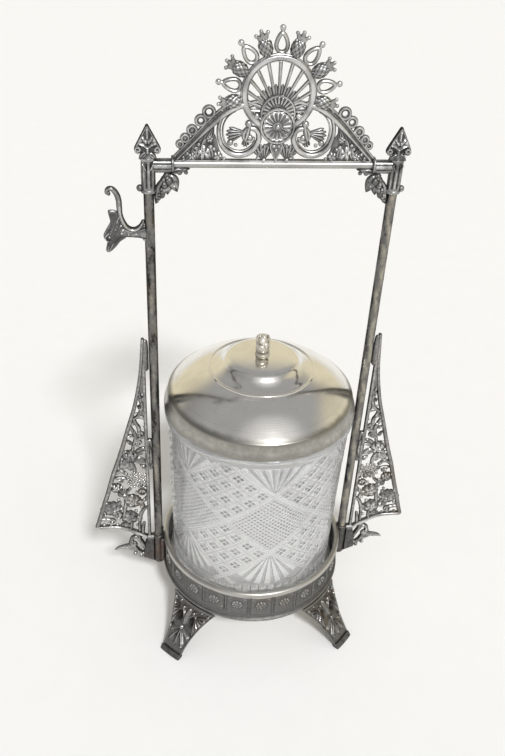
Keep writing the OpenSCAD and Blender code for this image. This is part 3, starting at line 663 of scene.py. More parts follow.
CAST = cast_silver("cast_silver_plate", Flat=(0.18, 0.18, 0.177, 1), Rubbed=(0.66, 0.66, 0.65, 1), Dull=0.12)
WING = cast_silver("wing_plate", Hollow=(0.035, 0.035, 0.034, 1), Flat=(0.21, 0.209, 0.204, 1),
                   Rubbed=(0.75, 0.74, 0.72, 1), Patches=0.5)
HOOK = cast_silver("hook_plate", Hollow=(0.03, 0.03, 0.03, 1), Flat=(0.15, 0.149, 0.146, 1),
                   Rubbed=(0.7, 0.7, 0.69, 1), Patches=0.3, Dull=0.02)
CREST = cast_silver("crest_silver_plate", Hollow=(0.045, 0.045, 0.045, 1), Flat=(0.3, 0.3, 0.296, 1),
                    Rubbed=(0.72, 0.72, 0.71, 1), Patches=0.2, Dull=0.08)
FINIAL = cast_silver("finial_plate", metal=0.5, Hollow=(0.12, 0.11, 0.09, 1), Flat=(0.5, 0.47, 0.4, 1),
                     Rubbed=(0.8, 0.77, 0.7, 1), Patches=0.3)
FOOT = cast_silver("foot_plate", Hollow=(0.035, 0.034, 0.033, 1), Flat=(0.19, 0.188, 0.182, 1),
                   Rubbed=(0.42, 0.415, 0.405, 1), Patches=0.4)
ROD = cast_silver("worn_rod_plate", metal=0.25, Flat=(0.15, 0.146, 0.138, 1), Rubbed=(0.36, 0.33, 0.27, 1),
                  Brown=(0.2, 0.155, 0.1, 1), Patches=0.4)
SOLID = cast_silver("plain_cast_plate", relief=0.45, Flat=(0.16, 0.157, 0.15, 1), Patches=0.5)
COPPER = cast_silver("worn_to_copper", relief=0.45, Flat=(0.16, 0.15, 0.14, 1), Brown=(0.24, 0.1, 0.065, 1),
                     Patches=0.7)
GALLERY = cast_silver("gallery_plate", Flat=(0.21, 0.209, 0.203, 1), Rubbed=(0.68, 0.67, 0.65, 1),
                      Hollow=(0.11, 0.109, 0.105, 1), Patches=0.4)
TRAY = polished_silver("tray_plate", relief=0.8, Bright=(0.8, 0.78, 0.74, 1), Smeared=(0.6, 0.57, 0.52, 1),
                       Gloss=0.3)
BAR = polished_silver("crossbar_plate", relief=0.8, Bright=(0.48, 0.475, 0.46, 1),
                      Smeared=(0.3, 0.293, 0.28, 1), Gloss=0.4)
RIM = polished_silver("rim_plate", relief=0.75, Bright=(0.52, 0.505, 0.475, 1),
                      Smeared=(0.38, 0.37, 0.345, 1), Gloss=0.32)
LID = polished_silver("lid_plate", Gloss=0.12)
GLASS = pressed_glass("pressed_glass")


# Crest: its ring, the middles of its fan and boss, and the four points that draw its arm
RING_Z, RING_R = 255.8, 13.7
FAN_Z, BOSS_Z = 249.2, 244.7
ARM = [(12.9, 252.6), (21.3, 250.0), (25.5, 243.6), (36.85, 232.4)]


def ray_reach(degrees):
    """Distance from the fan's centre to the ring along a ray: the root of the circle's equation."""
    a = np.radians(degrees)
    d, r = RING_Z - FAN_Z, RING_R - 1.6
    return d * np.sin(a) + np.sqrt(r * r - (d * np.cos(a)) ** 2)


def pineapple(c, degrees):
    """Pineapple on the ring: an egg whose radius is raised by the product of two families of
    slanting waves, and a crown of three leaves with a ball on each."""
    x, z = polar(0, RING_Z, RING_R + 2.9, degrees)
    a = np.radians(degrees)
    u = np.linspace(-np.pi / 2, np.pi / 2, 24)[:, None]
    f = around(48)
    net = np.abs(np.sin(4 * f + 4 * u)) * np.abs(np.sin(4 * f - 4 * u))
    k = 0.87 + 0.22 * net ** 0.5
    long = 3.2 * np.sin(u) * k
    side = 2.5 * np.cos(u) ** 0.85 * k * np.cos(f)
    deep = 2.1 * np.cos(u) ** 0.85 * k * np.sin(f)
    points = grid_of(x + np.cos(a) * long - np.sin(a) * side, deep, z + np.sin(a) * long + np.cos(a) * side)
    c.add(points, (False, True), np.clip(-0.1 + 1.1 * net ** 0.45, 0, 1))
    tx, tz = polar(0, RING_Z, RING_R + 5.3, degrees)
    for s in (-46, 0, 46):
        c.leaf(tx, tz, degrees + s, 3.5 - 0.008 * abs(s), 2.0, 0.95, -0.2, 1.0, n=(9, 6))
        c.bead(*polar(tx, tz, 3.0, degrees + s), 0.72, -0.25, n=(6, 9), relief=0.85)


def loop(c, degrees):
    """Teardrop loop: a wire whose distance along the ray is 3.1 cos and whose width is
    1.9 sin (1 - 0.34 cos) of the same angle, with a neck and a ball at its tip."""
    t = around(40)[0]
    a = np.radians(degrees)
    r = RING_R + 3.6 + 3.1 * np.cos(t)
    s = 1.9 * np.sin(t) * (1 - 0.34 * np.cos(t))
    path = np.stack([r * np.cos(a) - s * np.sin(a), RING_Z + r * np.sin(a) + s * np.cos(a)], 1)
    c.tube(path, 0.74, 0.95, 10, closed=True)
    c.tube([polar(0, RING_Z, RING_R + r, degrees) for r in (6.4, 8.1)], 0.62, 0.7, 9)
    c.bead(*polar(0, RING_Z, RING_R + 8.4, degrees), 1.12, relief=0.85)


def crest_arm(c):
    """Sloping arm, a cubic curve: a thin wire above, a thick one below and a web between them, each set off
    along the curve's normal, and a row of rings on it, each smaller than the last, with balls in the
    outer three."""
    steps = 30
    arm = bow(*ARM, n=steps)
    side = beside(arm)
    c.tube(arm + side * along([1.6, 1.25, 0.85], steps)[:, None], 0.52, 1.0, 9)
    c.tube(arm - side * along([0.85, 0.8, 0.4], steps)[:, None], along([1.15, 1.05, 0.6], 12), 1.3, 12)
    c.tube(arm + side * 0.35, 1.0, 0.5, 8, relief=-0.5)
    k = np.arange(5)
    share = 0.45 + 0.185 * k - 0.017 * k * k
    radii = 2.5 - 0.21 * k
    at = np.clip((share * (steps - 1)).astype(int), 1, steps - 2)
    for (x, z), r, step in zip(arm[at] + side[at] * (radii + 0.9)[:, None], radii, k):
        c.tube(circle(x, z, r - 0.55, 28), 0.62, 0.95, 9, closed=True)
        c.tube(circle(x, z, r - 1.3, 20), 0.25, 0.5, 6, closed=True)
        if step > 1:
            c.bead(x, z, r * 0.42, relief=0.75, n=(5, 8))


def crest_scroll(c):
    """C scroll: a cubic curve that runs on into an arc and a spiral, with a thin line inside it."""
    scroll = np.concatenate([bow((16.3, 250.7), (19.6, 249.6), (22.3, 245.4), (21.1, 240.0), 12),
                             turn(13.53, 241.0, 7.6, 7.2, -18, -170, 26)[1:],
                             turn(9.75, 240.6, 3.45, 1.5, 172, -150, 22)[1:]])
    c.tube(scroll, along([0.55, 0.8, 1.1, 1.2, 1.05, 0.85, 0.6], 40),
           along([1.0, 1.15, 1.3, 1.3, 1.2, 1.0], 20), 12)
    inner = np.concatenate([bow((15.4, 249.5), (18.3, 248.4), (20.7, 245.0), (19.6, 240.2), 12),
                            turn(13.53, 241.0, 6.1, 5.8, -14, -160, 22)[1:]])
    c.tube(inner, along([0.2, 0.38, 0.4, 0.2], 12), 0.85, 7, relief=0.05)
    c.bead(9.9, 240.3, 1.1, -0.4, 1.2, relief=0.9)


def crest_butterfly(c):
    """Butterfly in the scroll: two fluted fans for wings, a swelling tube for the body, a ball for the head,
    two more balls, and a half palmette under the arm outside the scroll."""
    c.fan(10.7, 242.2, -8, 54, 8.2, 5, 1.25, -0.2)
    c.fan(11.3, 241.2, -88, 52, 4.6, 4, 1.2, -0.3)
    c.tube([(10.2, 244.2), (10.7, 242.0), (11.5, 239.4)], [0.6, 0.95, 0.5], 1.0, 9, lift=-0.8)
    c.bead(10.5, 245.2, 1.4, -0.3, relief=0.85)
    c.beads([(17.0, 238.3, 1.2), (15.0, 237.4, 0.75)], -0.2)
    c.fan(22.9, 245.4, -70, 40, 8.4, 4, 1.1, -0.1, root=0.04)


def crest_flowers(c):
    """Filling between the arm and the bar: a low dark ground with flowers, leaves, berries and a stem."""
    ground = [(19.6, 231.2), (36.4, 231.2), (33.0, 234.6), (29.0, 238.6), (25.2, 242.0), (22.6, 241.0),
              (21.0, 236.0)]
    c.plate(ring_through(ground, 60), (26.0, 235.0), lambda k, x, z: 0.5 - 0.3 * k,
            lambda k, x, z: 0.3 + 0.1 * k, 0.0, 0.5, 6)
    for x, z, r, spin in ((26.6, 234.6, 2.7, 80), (21.6, 233.4, 1.9, 40), (31.0, 233.2, 1.7, 100),
                          (24.6, 239.6, 1.5, 20)):
        c.flower(x, z, r, -0.4, 5, spin, 1.0)
    c.leaves([(23.6, 232.0, 78, 6.6, 2.4), (28.8, 231.8, 58, 5.6, 2.2), (29.6, 232.0, 104, 6.4, 2.2),
              (33.4, 231.6, 138, 4.2, 1.8), (35.4, 231.4, 165, 3.4, 1.4), (20.0, 231.6, 30, 4.2, 1.9),
              (27.4, 237.4, 120, 4.0, 1.9)], 1.1, -0.3, 1.5, n=(10, 7))
    c.beads([(24.2, 236.8, 0.85), (28.6, 237.6, 0.8), (29.6, 236.2, 0.7), (23.0, 236.0, 0.7),
             (32.8, 234.2, 0.7), (19.2, 232.4, 0.75), (34.2, 232.8, 0.6)], -0.7, (6, 9))
    c.tube(bow((27.4, 232.4), (27.8, 235.6), (27.6, 237.6), (26.6, 239.2), 10), 0.5, 0.8, 8, lift=-0.6)


def crest_middle(c):
    """Inside the ring an arched leaf, two tubes on cubic curves, with two balls; beside the pendant a
    palmette with a ball and a stem."""
    c.tube(bow((4.7, 250.6), (6.2, 253.9), (9.9, 253.6), (12.4, 250.6), 14), [0.35, 0.72, 0.72, 0.4], 0.9, 8,
           relief=0.1)
    c.tube(bow((5.6, 249.9), (7.4, 252.3), (9.4, 251.9), (11.4, 249.6), 12), 0.3, 0.6, 7)
    c.bead(7.7, 248.0, 1.25, -0.4, relief=0.9)
    c.bead(9.9, 249.6, 0.7, -0.3, relief=0.8, n=(5, 8))
    c.fan(4.3, 231.3, 84, 92, 6.6, 6, 1.1, -0.1, root=0.1)
    c.bead(4.3, 231.9, 0.9, -0.8, relief=0.85)
    c.tube(bow((2.2, 238.2), (4.6, 236.4), (6.2, 234.6), (6.9, 232.2), 10), 0.4, 0.8, 7)


def crest_ring(c):
    """Ring, a rounded band between two thin wires, and the fan in it: rays from a centre below the ring's,
    a web between their roots, and an arch with a row of dentils on a disc."""
    c.tube(circle(0, RING_Z, RING_R - 1.25, 96), 1.12, 1.4, 12, closed=True, relief=0.1, square=0.8)
    for inset, width in ((0.12, 0.32), (2.35, 0.28)):
        c.tube(circle(0, RING_Z, RING_R - inset, 96), width, 0.9, 7, closed=True)
    for a in np.linspace(4, 176, 13):
        ray = [polar(0, FAN_Z, r, a) for r in np.linspace(5.6, ray_reach(a), 6)]
        c.tube(ray, [0.5, 0.72], [0.6, 0.9], 9)
    c.fan(0, FAN_Z, 90, 190, 10.2, 25, 0.65, 0.25, root=0.4, back=0.35, scallop=0.1, n=6)
    c.tube(turn(0, FAN_Z, 6.1, 6.1, -14, 194, 44), 0.62, 1.4, 9)
    c.disc(0, FAN_Z, 6.0, lambda r, a: 0.75 + 0 * a, lambda r, a: 0.45 + 0 * r * a, 0, 0.7, (4, 40))
    for a in np.linspace(0, 180, 13):
        c.tube([polar(0, FAN_Z, r, a) for r in (3.6, 5.4)], 0.5, 0.6, 8, lift=-0.95)


def crest_pendant(c):
    """Teardrop pendant under the rosette: a plate with a raised edge and three balls."""
    half = [(0.9, 233.0), (2.0, 235.4), (2.6, 237.2), (2.0, 238.9)]
    drop = [(0, 231.2), *half, (0, 239.5), *((-x, z) for x, z in half[::-1])]
    c.plate(ring_through(drop, 45), (0, 236.4),
            lambda k, x, z: 0.9 + 0.35 * bell(k - 0.85, 0.12) - 0.35 * smooth(k, 0.93, 1.0),
            lambda k, x, z: 0.42 + 0.5 * bell(k - 0.86, 0.16), -0.6, 1.4, 12)
    c.beads([(0, 236.0, 0.62), (-0.95, 237.4, 0.62), (0.95, 237.4, 0.62)], -1.6, (6, 9), 0.9)


def make_crest():
    """Crest: the ornament of the right half and its mirror image, the ring with its fan, the pendant, a
    flange along the bar, and pineapples and loops by turns round the ring."""
    half = Casting()
    for ornament in (crest_arm, crest_scroll, crest_butterfly, crest_flowers, crest_middle):
        ornament(half)
    c = Casting()
    for sign in (1, -1):
        c.join(half.for_side(sign))
    crest_ring(c)
    crest_pendant(c)
    c.tube([(-37.2, 231.5), (0, 231.5), (37.2, 231.5)], 0.55, 1.0, 8, square=0.7)
    for k in range(6):
        pineapple(c, 40 * k - 10)
    for k in range(5):
        loop(c, 40 * k + 10)
    make_piece("crest_casting", c, CREST, "crest")


def make_rosette():
    """Round boss: a dished disc with sixteen narrow petals, ridges as powers of |cos| that end in
    small arches, a raised rim and a ball in the middle."""
    c = Casting()
    rib = lambda a: np.abs(np.cos(8 * a)) ** 2.5
    arch = lambda r, a: bell(r - 0.76 - 0.05 * np.abs(np.cos(8 * a)), 0.05)
    rim = lambda r: smooth(r, 0.84, 0.9)
    c.disc(0, BOSS_Z, 6.5,
           lambda r, a: (0.3 + 0.8 * rim(r) * (1 - 0.6 * smooth(r, 0.94, 1.0))
                         + 0.55 * rib(a) * between(r, 0.18, 0.32, 0.7, 0.78)
                         + 0.45 * arch(r, a) + 0.5 * bell(r, 0.2)),
           lambda r, a: np.clip(0.42 + 0.5 * rim(r) + 0.6 * rib(a) * between(r, 0.2, 0.4, 0.72, 0.8)
                                + 0.5 * arch(r, a) + bell(r, 0.14), 0, 1), -1.15, 0.05, (40, 192))
    c.bead(0, BOSS_Z, 1.0, -2.0, 1.1, relief=1.0)
    make_piece("crest_rosette", c, CREST, "crest_boss")


def make_crossbar():
    """Crossbar: a round bar with domed ends."""
    c = Casting()
    c.tube([(x, BAR_Z) for x in np.linspace(-42.8, 42.8, 24)], 1.4, 1.4, 28)
    make_piece("crossbar_rod", c, BAR, "crossbar")


# Corners

def make_elbow(sign, label):
    """Elbow: a sleeve spun about the rod, its radius waved by |cos| into flutes, a tube along the bar ribbed
    the same way, a bead on a stalk and three short ridges."""
    c = Casting()
    sleeve = Casting()
    outside = through([(2.2, 219.0), (2.75, 219.1), (2.95, 219.6), (2.8, 220.2), (2.5, 220.6), (2.5, 224.0),
                       (2.5, 228.0), (2.5, 231.0), (2.75, 231.5), (2.8, 232.1), (2.4, 232.6),
                       (0.0, 232.6)], 60)
    profile = np.concatenate([outside, [(0.0, 231.0), (1.9, 231.0), (1.9, 219.0)]])
    flute = lambda a: np.abs(np.cos(4 * a + 0.3))
    fluted = lambda z: between(z, 220.8, 221.6, 230.4, 231.2)
    sleeve.spun(profile, 64, np.clip(0.75 - fluted(profile[:, 1:]) * (0.62 - 0.75 * flute(around(64))), 0, 1),
                wave=lambda a, z: 0.6 * fluted(z) * (flute(a) - 0.6))
    c.join(sleeve.on_rod())
    x = np.linspace(38.7, 45.2, 16)[:, None]
    a = around(60)
    rib = np.abs(np.cos(4 * a))
    r = 2.25 + 0.3 * rib ** 0.8
    end = lambda at: grid_of(at, 1.45 * np.cos(a), BAR_Z + 1.45 * np.sin(a))
    ribbed = grid_of(x, r * np.cos(a), BAR_Z - 0.4 + r * np.sin(a))
    c.add(np.concatenate([end(x[:1]), ribbed, end(x[-1:])]), (True, True), np.clip(0.2 + 0.75 * rib, 0, 1))
    c.bead(50.5, 220.7, 1.35, relief=0.7)
    c.tube([(49.2, 220.7), (50.4, 220.7)], 0.7, 0.8, 8)
    for q in (-1.9, 0.0, 1.9):
        c.tube([(ROD_X + q, 230.6), (ROD_X + q * 0.5, 228.6)], 0.35, 0.5, 7, lift=-2.6)
    make_piece("elbow_casting_" + label, c.for_side(sign), CAST, "elbow_" + label)


def make_arrow(sign, label):
    """Arrowhead: a plate with a raised edge and a drawing of ridges, each a bell of the distance from a line,
    on both faces, with curled barbs and small leaves, on a spun neck."""
    c = Casting()
    neck = Casting()
    neck.spun(through([(0, 232.3), (2.2, 232.3), (2.1, 232.8), (1.6, 233.3), (1.1, 233.9), (1.0, 234.6),
                       (0.0, 234.8)], 36), 32, 0.35, closed=False)
    c.join(neck.on_rod())
    half = [(0, 244.75), (0.5, 244.4), (0.95, 243.5), (2.5, 240.6), (4.25, 237.3), (4.85, 235.9),
            (4.7, 234.8), (4.0, 234.0), (3.2, 233.9), (2.3, 234.3), (1.6, 234.7), (1.3, 234.2), (0, 234.0)]
    outline = ring_through(half + [(-x, z) for x, z in half[-2:0:-1]], 140) + np.array([ROD_X, 0])
    lines = [(0, 239.6, 0, 242.4), (0, 234.6, 0, 236.0), (0.2, 236.0, 1.4, 237.0), (1.4, 237.0, 2.7, 237.4),
             (0.9, 238.6, 1.6, 239.6), (0.5, 238.0, 0.5, 238.4), (2.3, 238.6, 2.5, 238.9)]
    ridge = lambda x, z, w: np.max([bell(on_line(np.abs(x - ROD_X), z, *line)[1], w) for line in lines], 0)
    edge = lambda k: smooth(k, 0.76, 0.86) * (1 - 0.6 * smooth(k, 0.93, 1.0))
    # the tone drops past k 0.92, on the outer bevel where the edge rolls away: painted shade
    c.two_faced(outline, (ROD_X, 236.5),
                lambda k, x, z: (0.5 + 0.6 * edge(k) + 0.75 * ridge(x, z, 0.5) * (1 - edge(k))
                                 - 0.8 * smooth(k, 0.95, 1.0)),
                lambda k, x, z: np.clip(0.24 + 0.5 * bell(k - 0.85, 0.06) - 0.12 * smooth(k, 0.92, 0.97)
                                        + 0.75 * ridge(x, z, 0.42), 0, 1), 26)
    for s in (-1, 1):
        for lift in (-0.75, 0.75):
            c.tube(turn(ROD_X + s * 3.4, 235.35, 1.2, 0.4, 90 - s * 170, 90 + s * 210, 22),
                   along([0.3, 0.5, 0.45], 6), 0.55, 8, lift=lift)
            c.leaf(ROD_X + s * 0.4, 234.7, 270 + s * 46, 4.0, 2.0, 0.9, lift, 1.0, 0.6)
    make_piece("arrow_casting_" + label, c.for_side(sign), CREST, "arrow_" + label)


def make_spandrel(sign, label):
    """Lumpy leaf cluster in the inner corner: four leaves, eggs between them, and a ridge of small beads."""
    c = Casting()
    leaves = ((39.9, 226.8, 245, 8.2, 5.2, -0.3), (40.6, 226.4, 267, 8.4, 5.4, 0.2),
              (41.0, 225.0, 290, 11.2, 4.6, -0.2), (39.6, 227.2, 172, 8.0, 2.6, -0.1))
    for x, z, angle, length, width, lift in leaves:
        c.leaf(x, z, angle, length, width, 1.8, lift, 1.4, 1.4, n=(14, 10))
    eggs = ((39.6, 223.6, 1.6, 1.6, 1.7, 0.55), (37.8, 221.4, 1.1, 1.4, 1.2, 0.7),
            (41.3, 222.0, 1.4, 1.6, 1.5, 0.65), (42.2, 218.6, 1.2, 1.5, 1.7, 0.5),
            (40.4, 225.8, 1.4, 1.3, 1.2, 0.5), (37.2, 223.8, 1.0, 1.2, 1.0, 0.5),
            (35.6, 226.8, 1.0, 0.9, 0.8, 0.6), (33.2, 226.9, 0.8, 0.8, 0.7, 0.55),
            (44.1, 216.0, 0.7, 0.9, 0.9, 0.55))
    for x, z, rx, ry, rz, tone in eggs:
        c.bead(x, z, rx, -0.6, ry, rz, n=(8, 12), relief=tone)
    c.tube([(39.4, 227.5), (44.6, 227.5)], 0.8, 1.0, 8)
    ridge_x = (39.3, 40.3, 40.1, 41.4, 41.2, 42.5, 42.3, 43.4, 43.2, 43.9)
    ridge_r = (0.45, 0.6, 0.4, 0.65, 0.5, 0.6, 0.4, 0.55, 0.45, 0.5)
    for x, z, r in zip(ridge_x, np.linspace(226.4, 216.6, len(ridge_x)), ridge_r):
        c.bead(x, z, r, -1.9, 0.7, r, n=(6, 8), relief=0.95)
    make_piece("spandrel_casting_" + label, c.for_side(sign), CAST, "spandrel_" + label)


def make_collar(sign, label):
    """Disc collar: a profile of radius and place along the bar, turned about the bar."""
    c = Casting()
    a = around(60)
    q = through([(1.45, 37.65), (2.7, 37.62), (3.1, 37.85), (3.15, 38.15), (3.1, 38.5), (2.7, 38.68),
                 (1.45, 38.65)], 26)
    c.add(grid_of(q[:, 1:], q[:, :1] * np.cos(a), BAR_Z + q[:, :1] * np.sin(a)), (True, True), 0.75)
    make_piece("collar_disc_" + label, c.for_side(sign), CAST, "collar_" + label)


def make_rod(sign, label):
    """Upright rod: a round bar from the socket to the elbow. Its worn marks are a sum of waves along and
    round it, long streaks and fine marks; its sides are made darker than its front and back, which is painted
    shade;
    the left rod is the darker one."""
    c = Casting()
    rows, columns, radius = 640, 48, 2.0
    z = np.linspace(ROD_LO + 0.1, ROD_HI - 0.4, rows)
    rod = np.concatenate([[(0, ROD_LO)], np.stack([np.full(rows, radius), z], 1), [(0, ROD_HI - 0.2)]])
    f = around(columns)
    pick = np.random.default_rng(11 if sign > 0 else 4)
    worn = np.zeros((len(rod), columns))
    for depth, most, shortest, longest, count in ((0.028, 4, 7.0, 70.0, 60), (0.009, 9, 1.2, 6.0, 80)):
        turns = pick.integers(-most, most + 1, count)
        lengths = pick.uniform(shortest, longest, count)
        phases = pick.uniform(0, TAU, count)
        for turn_count, length, phase in zip(turns, lengths, phases):
            worn = worn + depth * np.cos(turn_count * f + TAU * rod[:, 1:] / length + phase)
    bare = 0.55 if sign > 0 else 0.28
    # the term -0.3 cos(2f) darkens the rod's sides, where it turns away from the front: painted shade
    c.spun(rod, columns, np.clip(bare - 0.3 * np.cos(2 * f) + worn, 0.02, 1), closed=False)
    make_piece("rod_" + label, c.on_rod().for_side(sign), ROD, "upright_" + label)


def make_socket(sign, label):
    """Socket: a spun cup round the foot of the rod, with a boxed web to the gallery."""
    cup = Casting()
    cup.spun(through([(0, 20.3), (2.1, 20.3), (2.6, 20.8), (2.65, 24.0), (2.6, 30.0), (2.6, 36.4),
                      (2.85, 37.0), (2.8, 38.0), (2.4, 38.7), (0, 38.8)], 60), 40, 0.42, closed=False)
    c = cup.on_rod()
    c.tube([(45.2, z) for z in np.linspace(22.2, 35.8, 10)], 1.3, 2.7, 16, square=0.5, relief=-0.3)
    make_piece("socket_cup_" + label, c.for_side(sign), SOLID if sign > 0 else COPPER, "socket_" + label)


# Wings: the points that each stem runs through, by x and z
WING_STEMS = (
    ((54.2, 127.0), (53.4, 122.5), (53.2, 118.3), (54.3, 114.6), (56.0, 112.6), (57.4, 112.0)),
    ((56.9, 111.6), (56.0, 108.9), (55.1, 107.1), (54.7, 103.3), (54.4, 101.4)),
    ((59.0, 107.8), (58.2, 106.0), (56.9, 103.2), (56.6, 100.5), (57.6, 96.9), (58.3, 93.4)),
    ((51.8, 102.2), (54.0, 101.0), (56.3, 99.3), (57.4, 97.6)),
    ((51.9, 111.6), (53.2, 112.6), (55.2, 112.9)),
    ((58.6, 85.0), (57.9, 82.4), (57.6, 79.6)),
    ((61.6, 79.0), (63.6, 80.8), (65.6, 80.6), (66.8, 79.4)),
    ((62.2, 76.4), (64.2, 76.6), (66.6, 76.8)),
    ((60.4, 69.6), (62.6, 67.6), (65.0, 69.0)),
    ((62.4, 62.8), (62.9, 59.0), (63.6, 54.6), (63.9, 51.6)),
    ((51.9, 57.4), (53.8, 56.2), (55.4, 53.2), (56.3, 48.6), (56.6, 41.6)),
    ((52.0, 64.4), (54.2, 61.4), (57.0, 61.0)),
    ((65.2, 53.2), (66.8, 55.0), (67.4, 55.6)),
    ((70.8, 49.8), (72.8, 49.9), (75.2, 50.2)),
    ((54.3, 46.4), (54.9, 43.0), (55.0, 39.6)),
    ((60.4, 47.6), (60.6, 45.0), (60.8, 42.6)),
    ((70.2, 47.4), (70.6, 46.4), (70.8, 45.2)))
# Roses, curls and berries by x, z and radius
WING_ROSES = ((59.3, 89.7, 3.7), (66.7, 70.4, 2.7), (59.4, 61.6, 3.9), (69.2, 57.0, 4.2), (61.2, 50.8, 4.0),
              (54.2, 118.6, 1.1))
WING_CURLS = ((54.6, 67.4, 1.7), (69.9, 48.6, 1.5), (55.2, 98.0, 1.1), (63.4, 83.2, 1.0))
WING_BERRIES = ((53.4, 84.6, 0.8), (61.4, 93.6, 0.7), (63.6, 87.2, 0.8), (53.6, 63.2, 0.8), (66.0, 63.4, 0.8),
                (71.8, 61.4, 0.8), (65.0, 57.6, 0.9), (58.0, 55.6, 0.9), (66.4, 51.0, 0.8), (72.8, 53.4, 0.7),
                (57.6, 46.0, 0.8), (73.8, 47.2, 0.8), (67.4, 47.0, 0.7), (55.4, 57.8, 0.7), (64.4, 71.6, 0.8),
                (68.8, 72.6, 0.7), (56.8, 105.0, 0.6), (55.6, 115.6, 0.55), (52.9, 107.6, 0.5),
                (57.2, 68.0, 0.8), (62.6, 69.6, 0.8), (53.0, 79.0, 0.8), (61.8, 80.0, 0.8))
# Leaves by x, z, angle, length and width
WING_LEAVES = ((60.6, 88.0, -58, 6.4, 4.4), (58.0, 88.4, 196, 6.0, 3.6), (60.0, 86.8, -96, 5.0, 4.0),
               (61.6, 91.6, 40, 3.2, 2.4), (56.4, 91.4, 160, 4.6, 2.0), (52.2, 95.4, -24, 5.0, 1.9),
               (61.4, 63.6, 50, 3.8, 2.8), (57.0, 60.6, 214, 4.0, 2.6), (71.4, 57.6, -6, 3.6, 3.4),
               (67.4, 59.6, 140, 3.0, 2.2), (68.8, 54.0, -120, 3.4, 2.4), (58.6, 50.2, 190, 3.4, 2.8),
               (62.4, 48.0, -70, 3.6, 2.6), (65.2, 68.6, 200, 3.6, 2.4), (64.4, 65.0, 60, 3.0, 2.2),
               (53.2, 120.4, 100, 4.4, 1.4), (54.6, 106.6, 60, 3.0, 1.3), (52.2, 82.4, 40, 3.6, 2.0),
               (63.2, 74.4, 30, 3.4, 2.2), (58.4, 65.4, -30, 4.0, 2.4), (74.6, 52.0, 150, 2.6, 1.6),
               (64.4, 45.0, 80, 2.6, 2.0), (52.4, 70.6, 10, 2.6, 1.6), (53.2, 124.6, -76, 3.6, 1.5),
               (54.4, 117.0, -112, 3.4, 1.5), (56.6, 111.2, -64, 3.8, 1.7), (55.6, 104.6, 196, 3.2, 1.7),
               (57.2, 101.8, 24, 3.0, 1.6), (54.4, 97.4, -14, 3.8, 1.9), (58.6, 97.0, 60, 3.4, 1.7))


def wing_rails(c):
    """Frame of the wing: boxed tubes along the outer, inner and bottom rails, two blades at the tip, a lug
    with a leaf against the rod, and a block at the foot, a plate on both faces with a raised edge."""
    outer = through([(51.75, 154.0), (53.0, 138.5), (54.45, 128.4), (56.5, 118.2), (58.6, 110.6),
                     (60.7, 103.0), (62.85, 95.1), (65.25, 87.0), (67.9, 78.7), (70.55, 68.7), (73.3, 59.2),
                     (76.0, 49.5), (77.25, 45.4)], 70)
    c.tube(outer, along([0.7, 0.9, 1.05, 1.05], 9), 1.2, 12, square=0.7, relief=-0.2)
    c.tube([(51.75, z) for z in np.linspace(37.5, 141, 30)], 0.85, 1.1, 10, square=0.8, relief=-0.15)
    bottom = through([(52.6, 36.6), (56.0, 39.2), (59.4, 41.2), (63.4, 43.4), (68.6, 44.9), (77.3, 45.0)], 34)
    c.tube(bottom, along([1.0, 1.0, 0.9, 0.85], 9), 1.3, 12, square=0.7)
    blade = lambda x0, z0, x1, z1: np.stack([along([x0, x1], 8), along([z0, z1], 8)], 1)
    c.tube(blade(50.9, 152.6, 51.35, 139.6), [1.3, 1.7, 1.8, 1.95], 1.0, 14, relief=-0.25)
    c.tube(blade(52.3, 140.5, 52.95, 127.0), [1.0, 1.5], 0.8, 14, square=0.6, relief=-0.3)
    c.tube([(50.5, z) for z in np.linspace(83.0, 99.2, 8)], [1.5, 1.8, 1.6, 1.5], 1.1, 12, square=0.6,
           relief=-0.2)
    c.leaf(50.4, 83.6, 90, 15.0, 3.2, 0.9, -1.0, 4.0)
    block = np.stack([along([49.5, 52.7, 53.3, 54.7, 55.1, 49.7, 49.5], 73),
                      along([38.4, 38.4, 36.0, 30.0, 23.0, 20.4, 38.4], 73)], 1)[:-1]
    c.two_faced(block, (52.0, 29.6),
                lambda k, x, z: 1.9 + 0.2 * bell(k - 0.8, 0.1) - 0.9 * smooth(k, 0.88, 1.0),
                lambda k, x, z: 0.36 + 0.35 * bell(k - 0.9, 0.06), 14)


def wing_flowers(c):
    """Filling of the wing: stems, roses, the larger ones with a second flower on them over a rippled disc,
    leaves, a bunch of berries on a spiral of the golden angle, curls with a ball, and loose berries."""
    for points in WING_STEMS:
        c.tube(through(points, 5 * len(points)), [0.8, 1.05, 0.8], 0.9, 9, lift=0.1, relief=-0.12)
    wave = lambda q, a: np.cos(11 * a + 9 * q)
    for k, (x, z, r) in enumerate(WING_ROSES):
        c.flower(x, z, r, -0.2, 5, 90 + 29 * k, 1.3)
        if r > 2.6:
            c.flower(x, z, 0.6 * r, -0.95, 5, 54 + 29 * k, 0.9)
            c.disc(x, z, 1.12 * r, lambda q, a: 0.55 - 0.3 * q + 0.12 * wave(q, a),
                   lambda q, a: 0.42 + 0.2 * wave(q, a), 0.0, 0.6, (7, 66),
                   lambda a: 0.87 + 0.13 * np.abs(np.cos(5.5 * a)))
    for x, z, angle, length, width in WING_LEAVES:
        c.leaf(x, z, angle, 1.12 * length, 1.25 * width, 1.0, -0.15, 1.6, 0.5, n=(11, 8))
    k = np.arange(34)
    turned, spread = 2.4 * k, np.sqrt(k)
    for x, z in zip(57.2 + spread * 0.82 * np.cos(turned), 75.6 + spread * 0.84 * np.sin(turned)):
        c.bead(x, z, 0.74, -0.75, n=(6, 9), relief=0.95)
    for x, z, r in WING_CURLS:
        c.tube(circle(x, z, r, 24), 0.5, 0.85, 8, closed=True)
        c.bead(x, z, 0.45 * r, -0.3, n=(6, 9), relief=0.95)
    c.beads(WING_BERRIES, -0.75, (7, 10), 0.95)


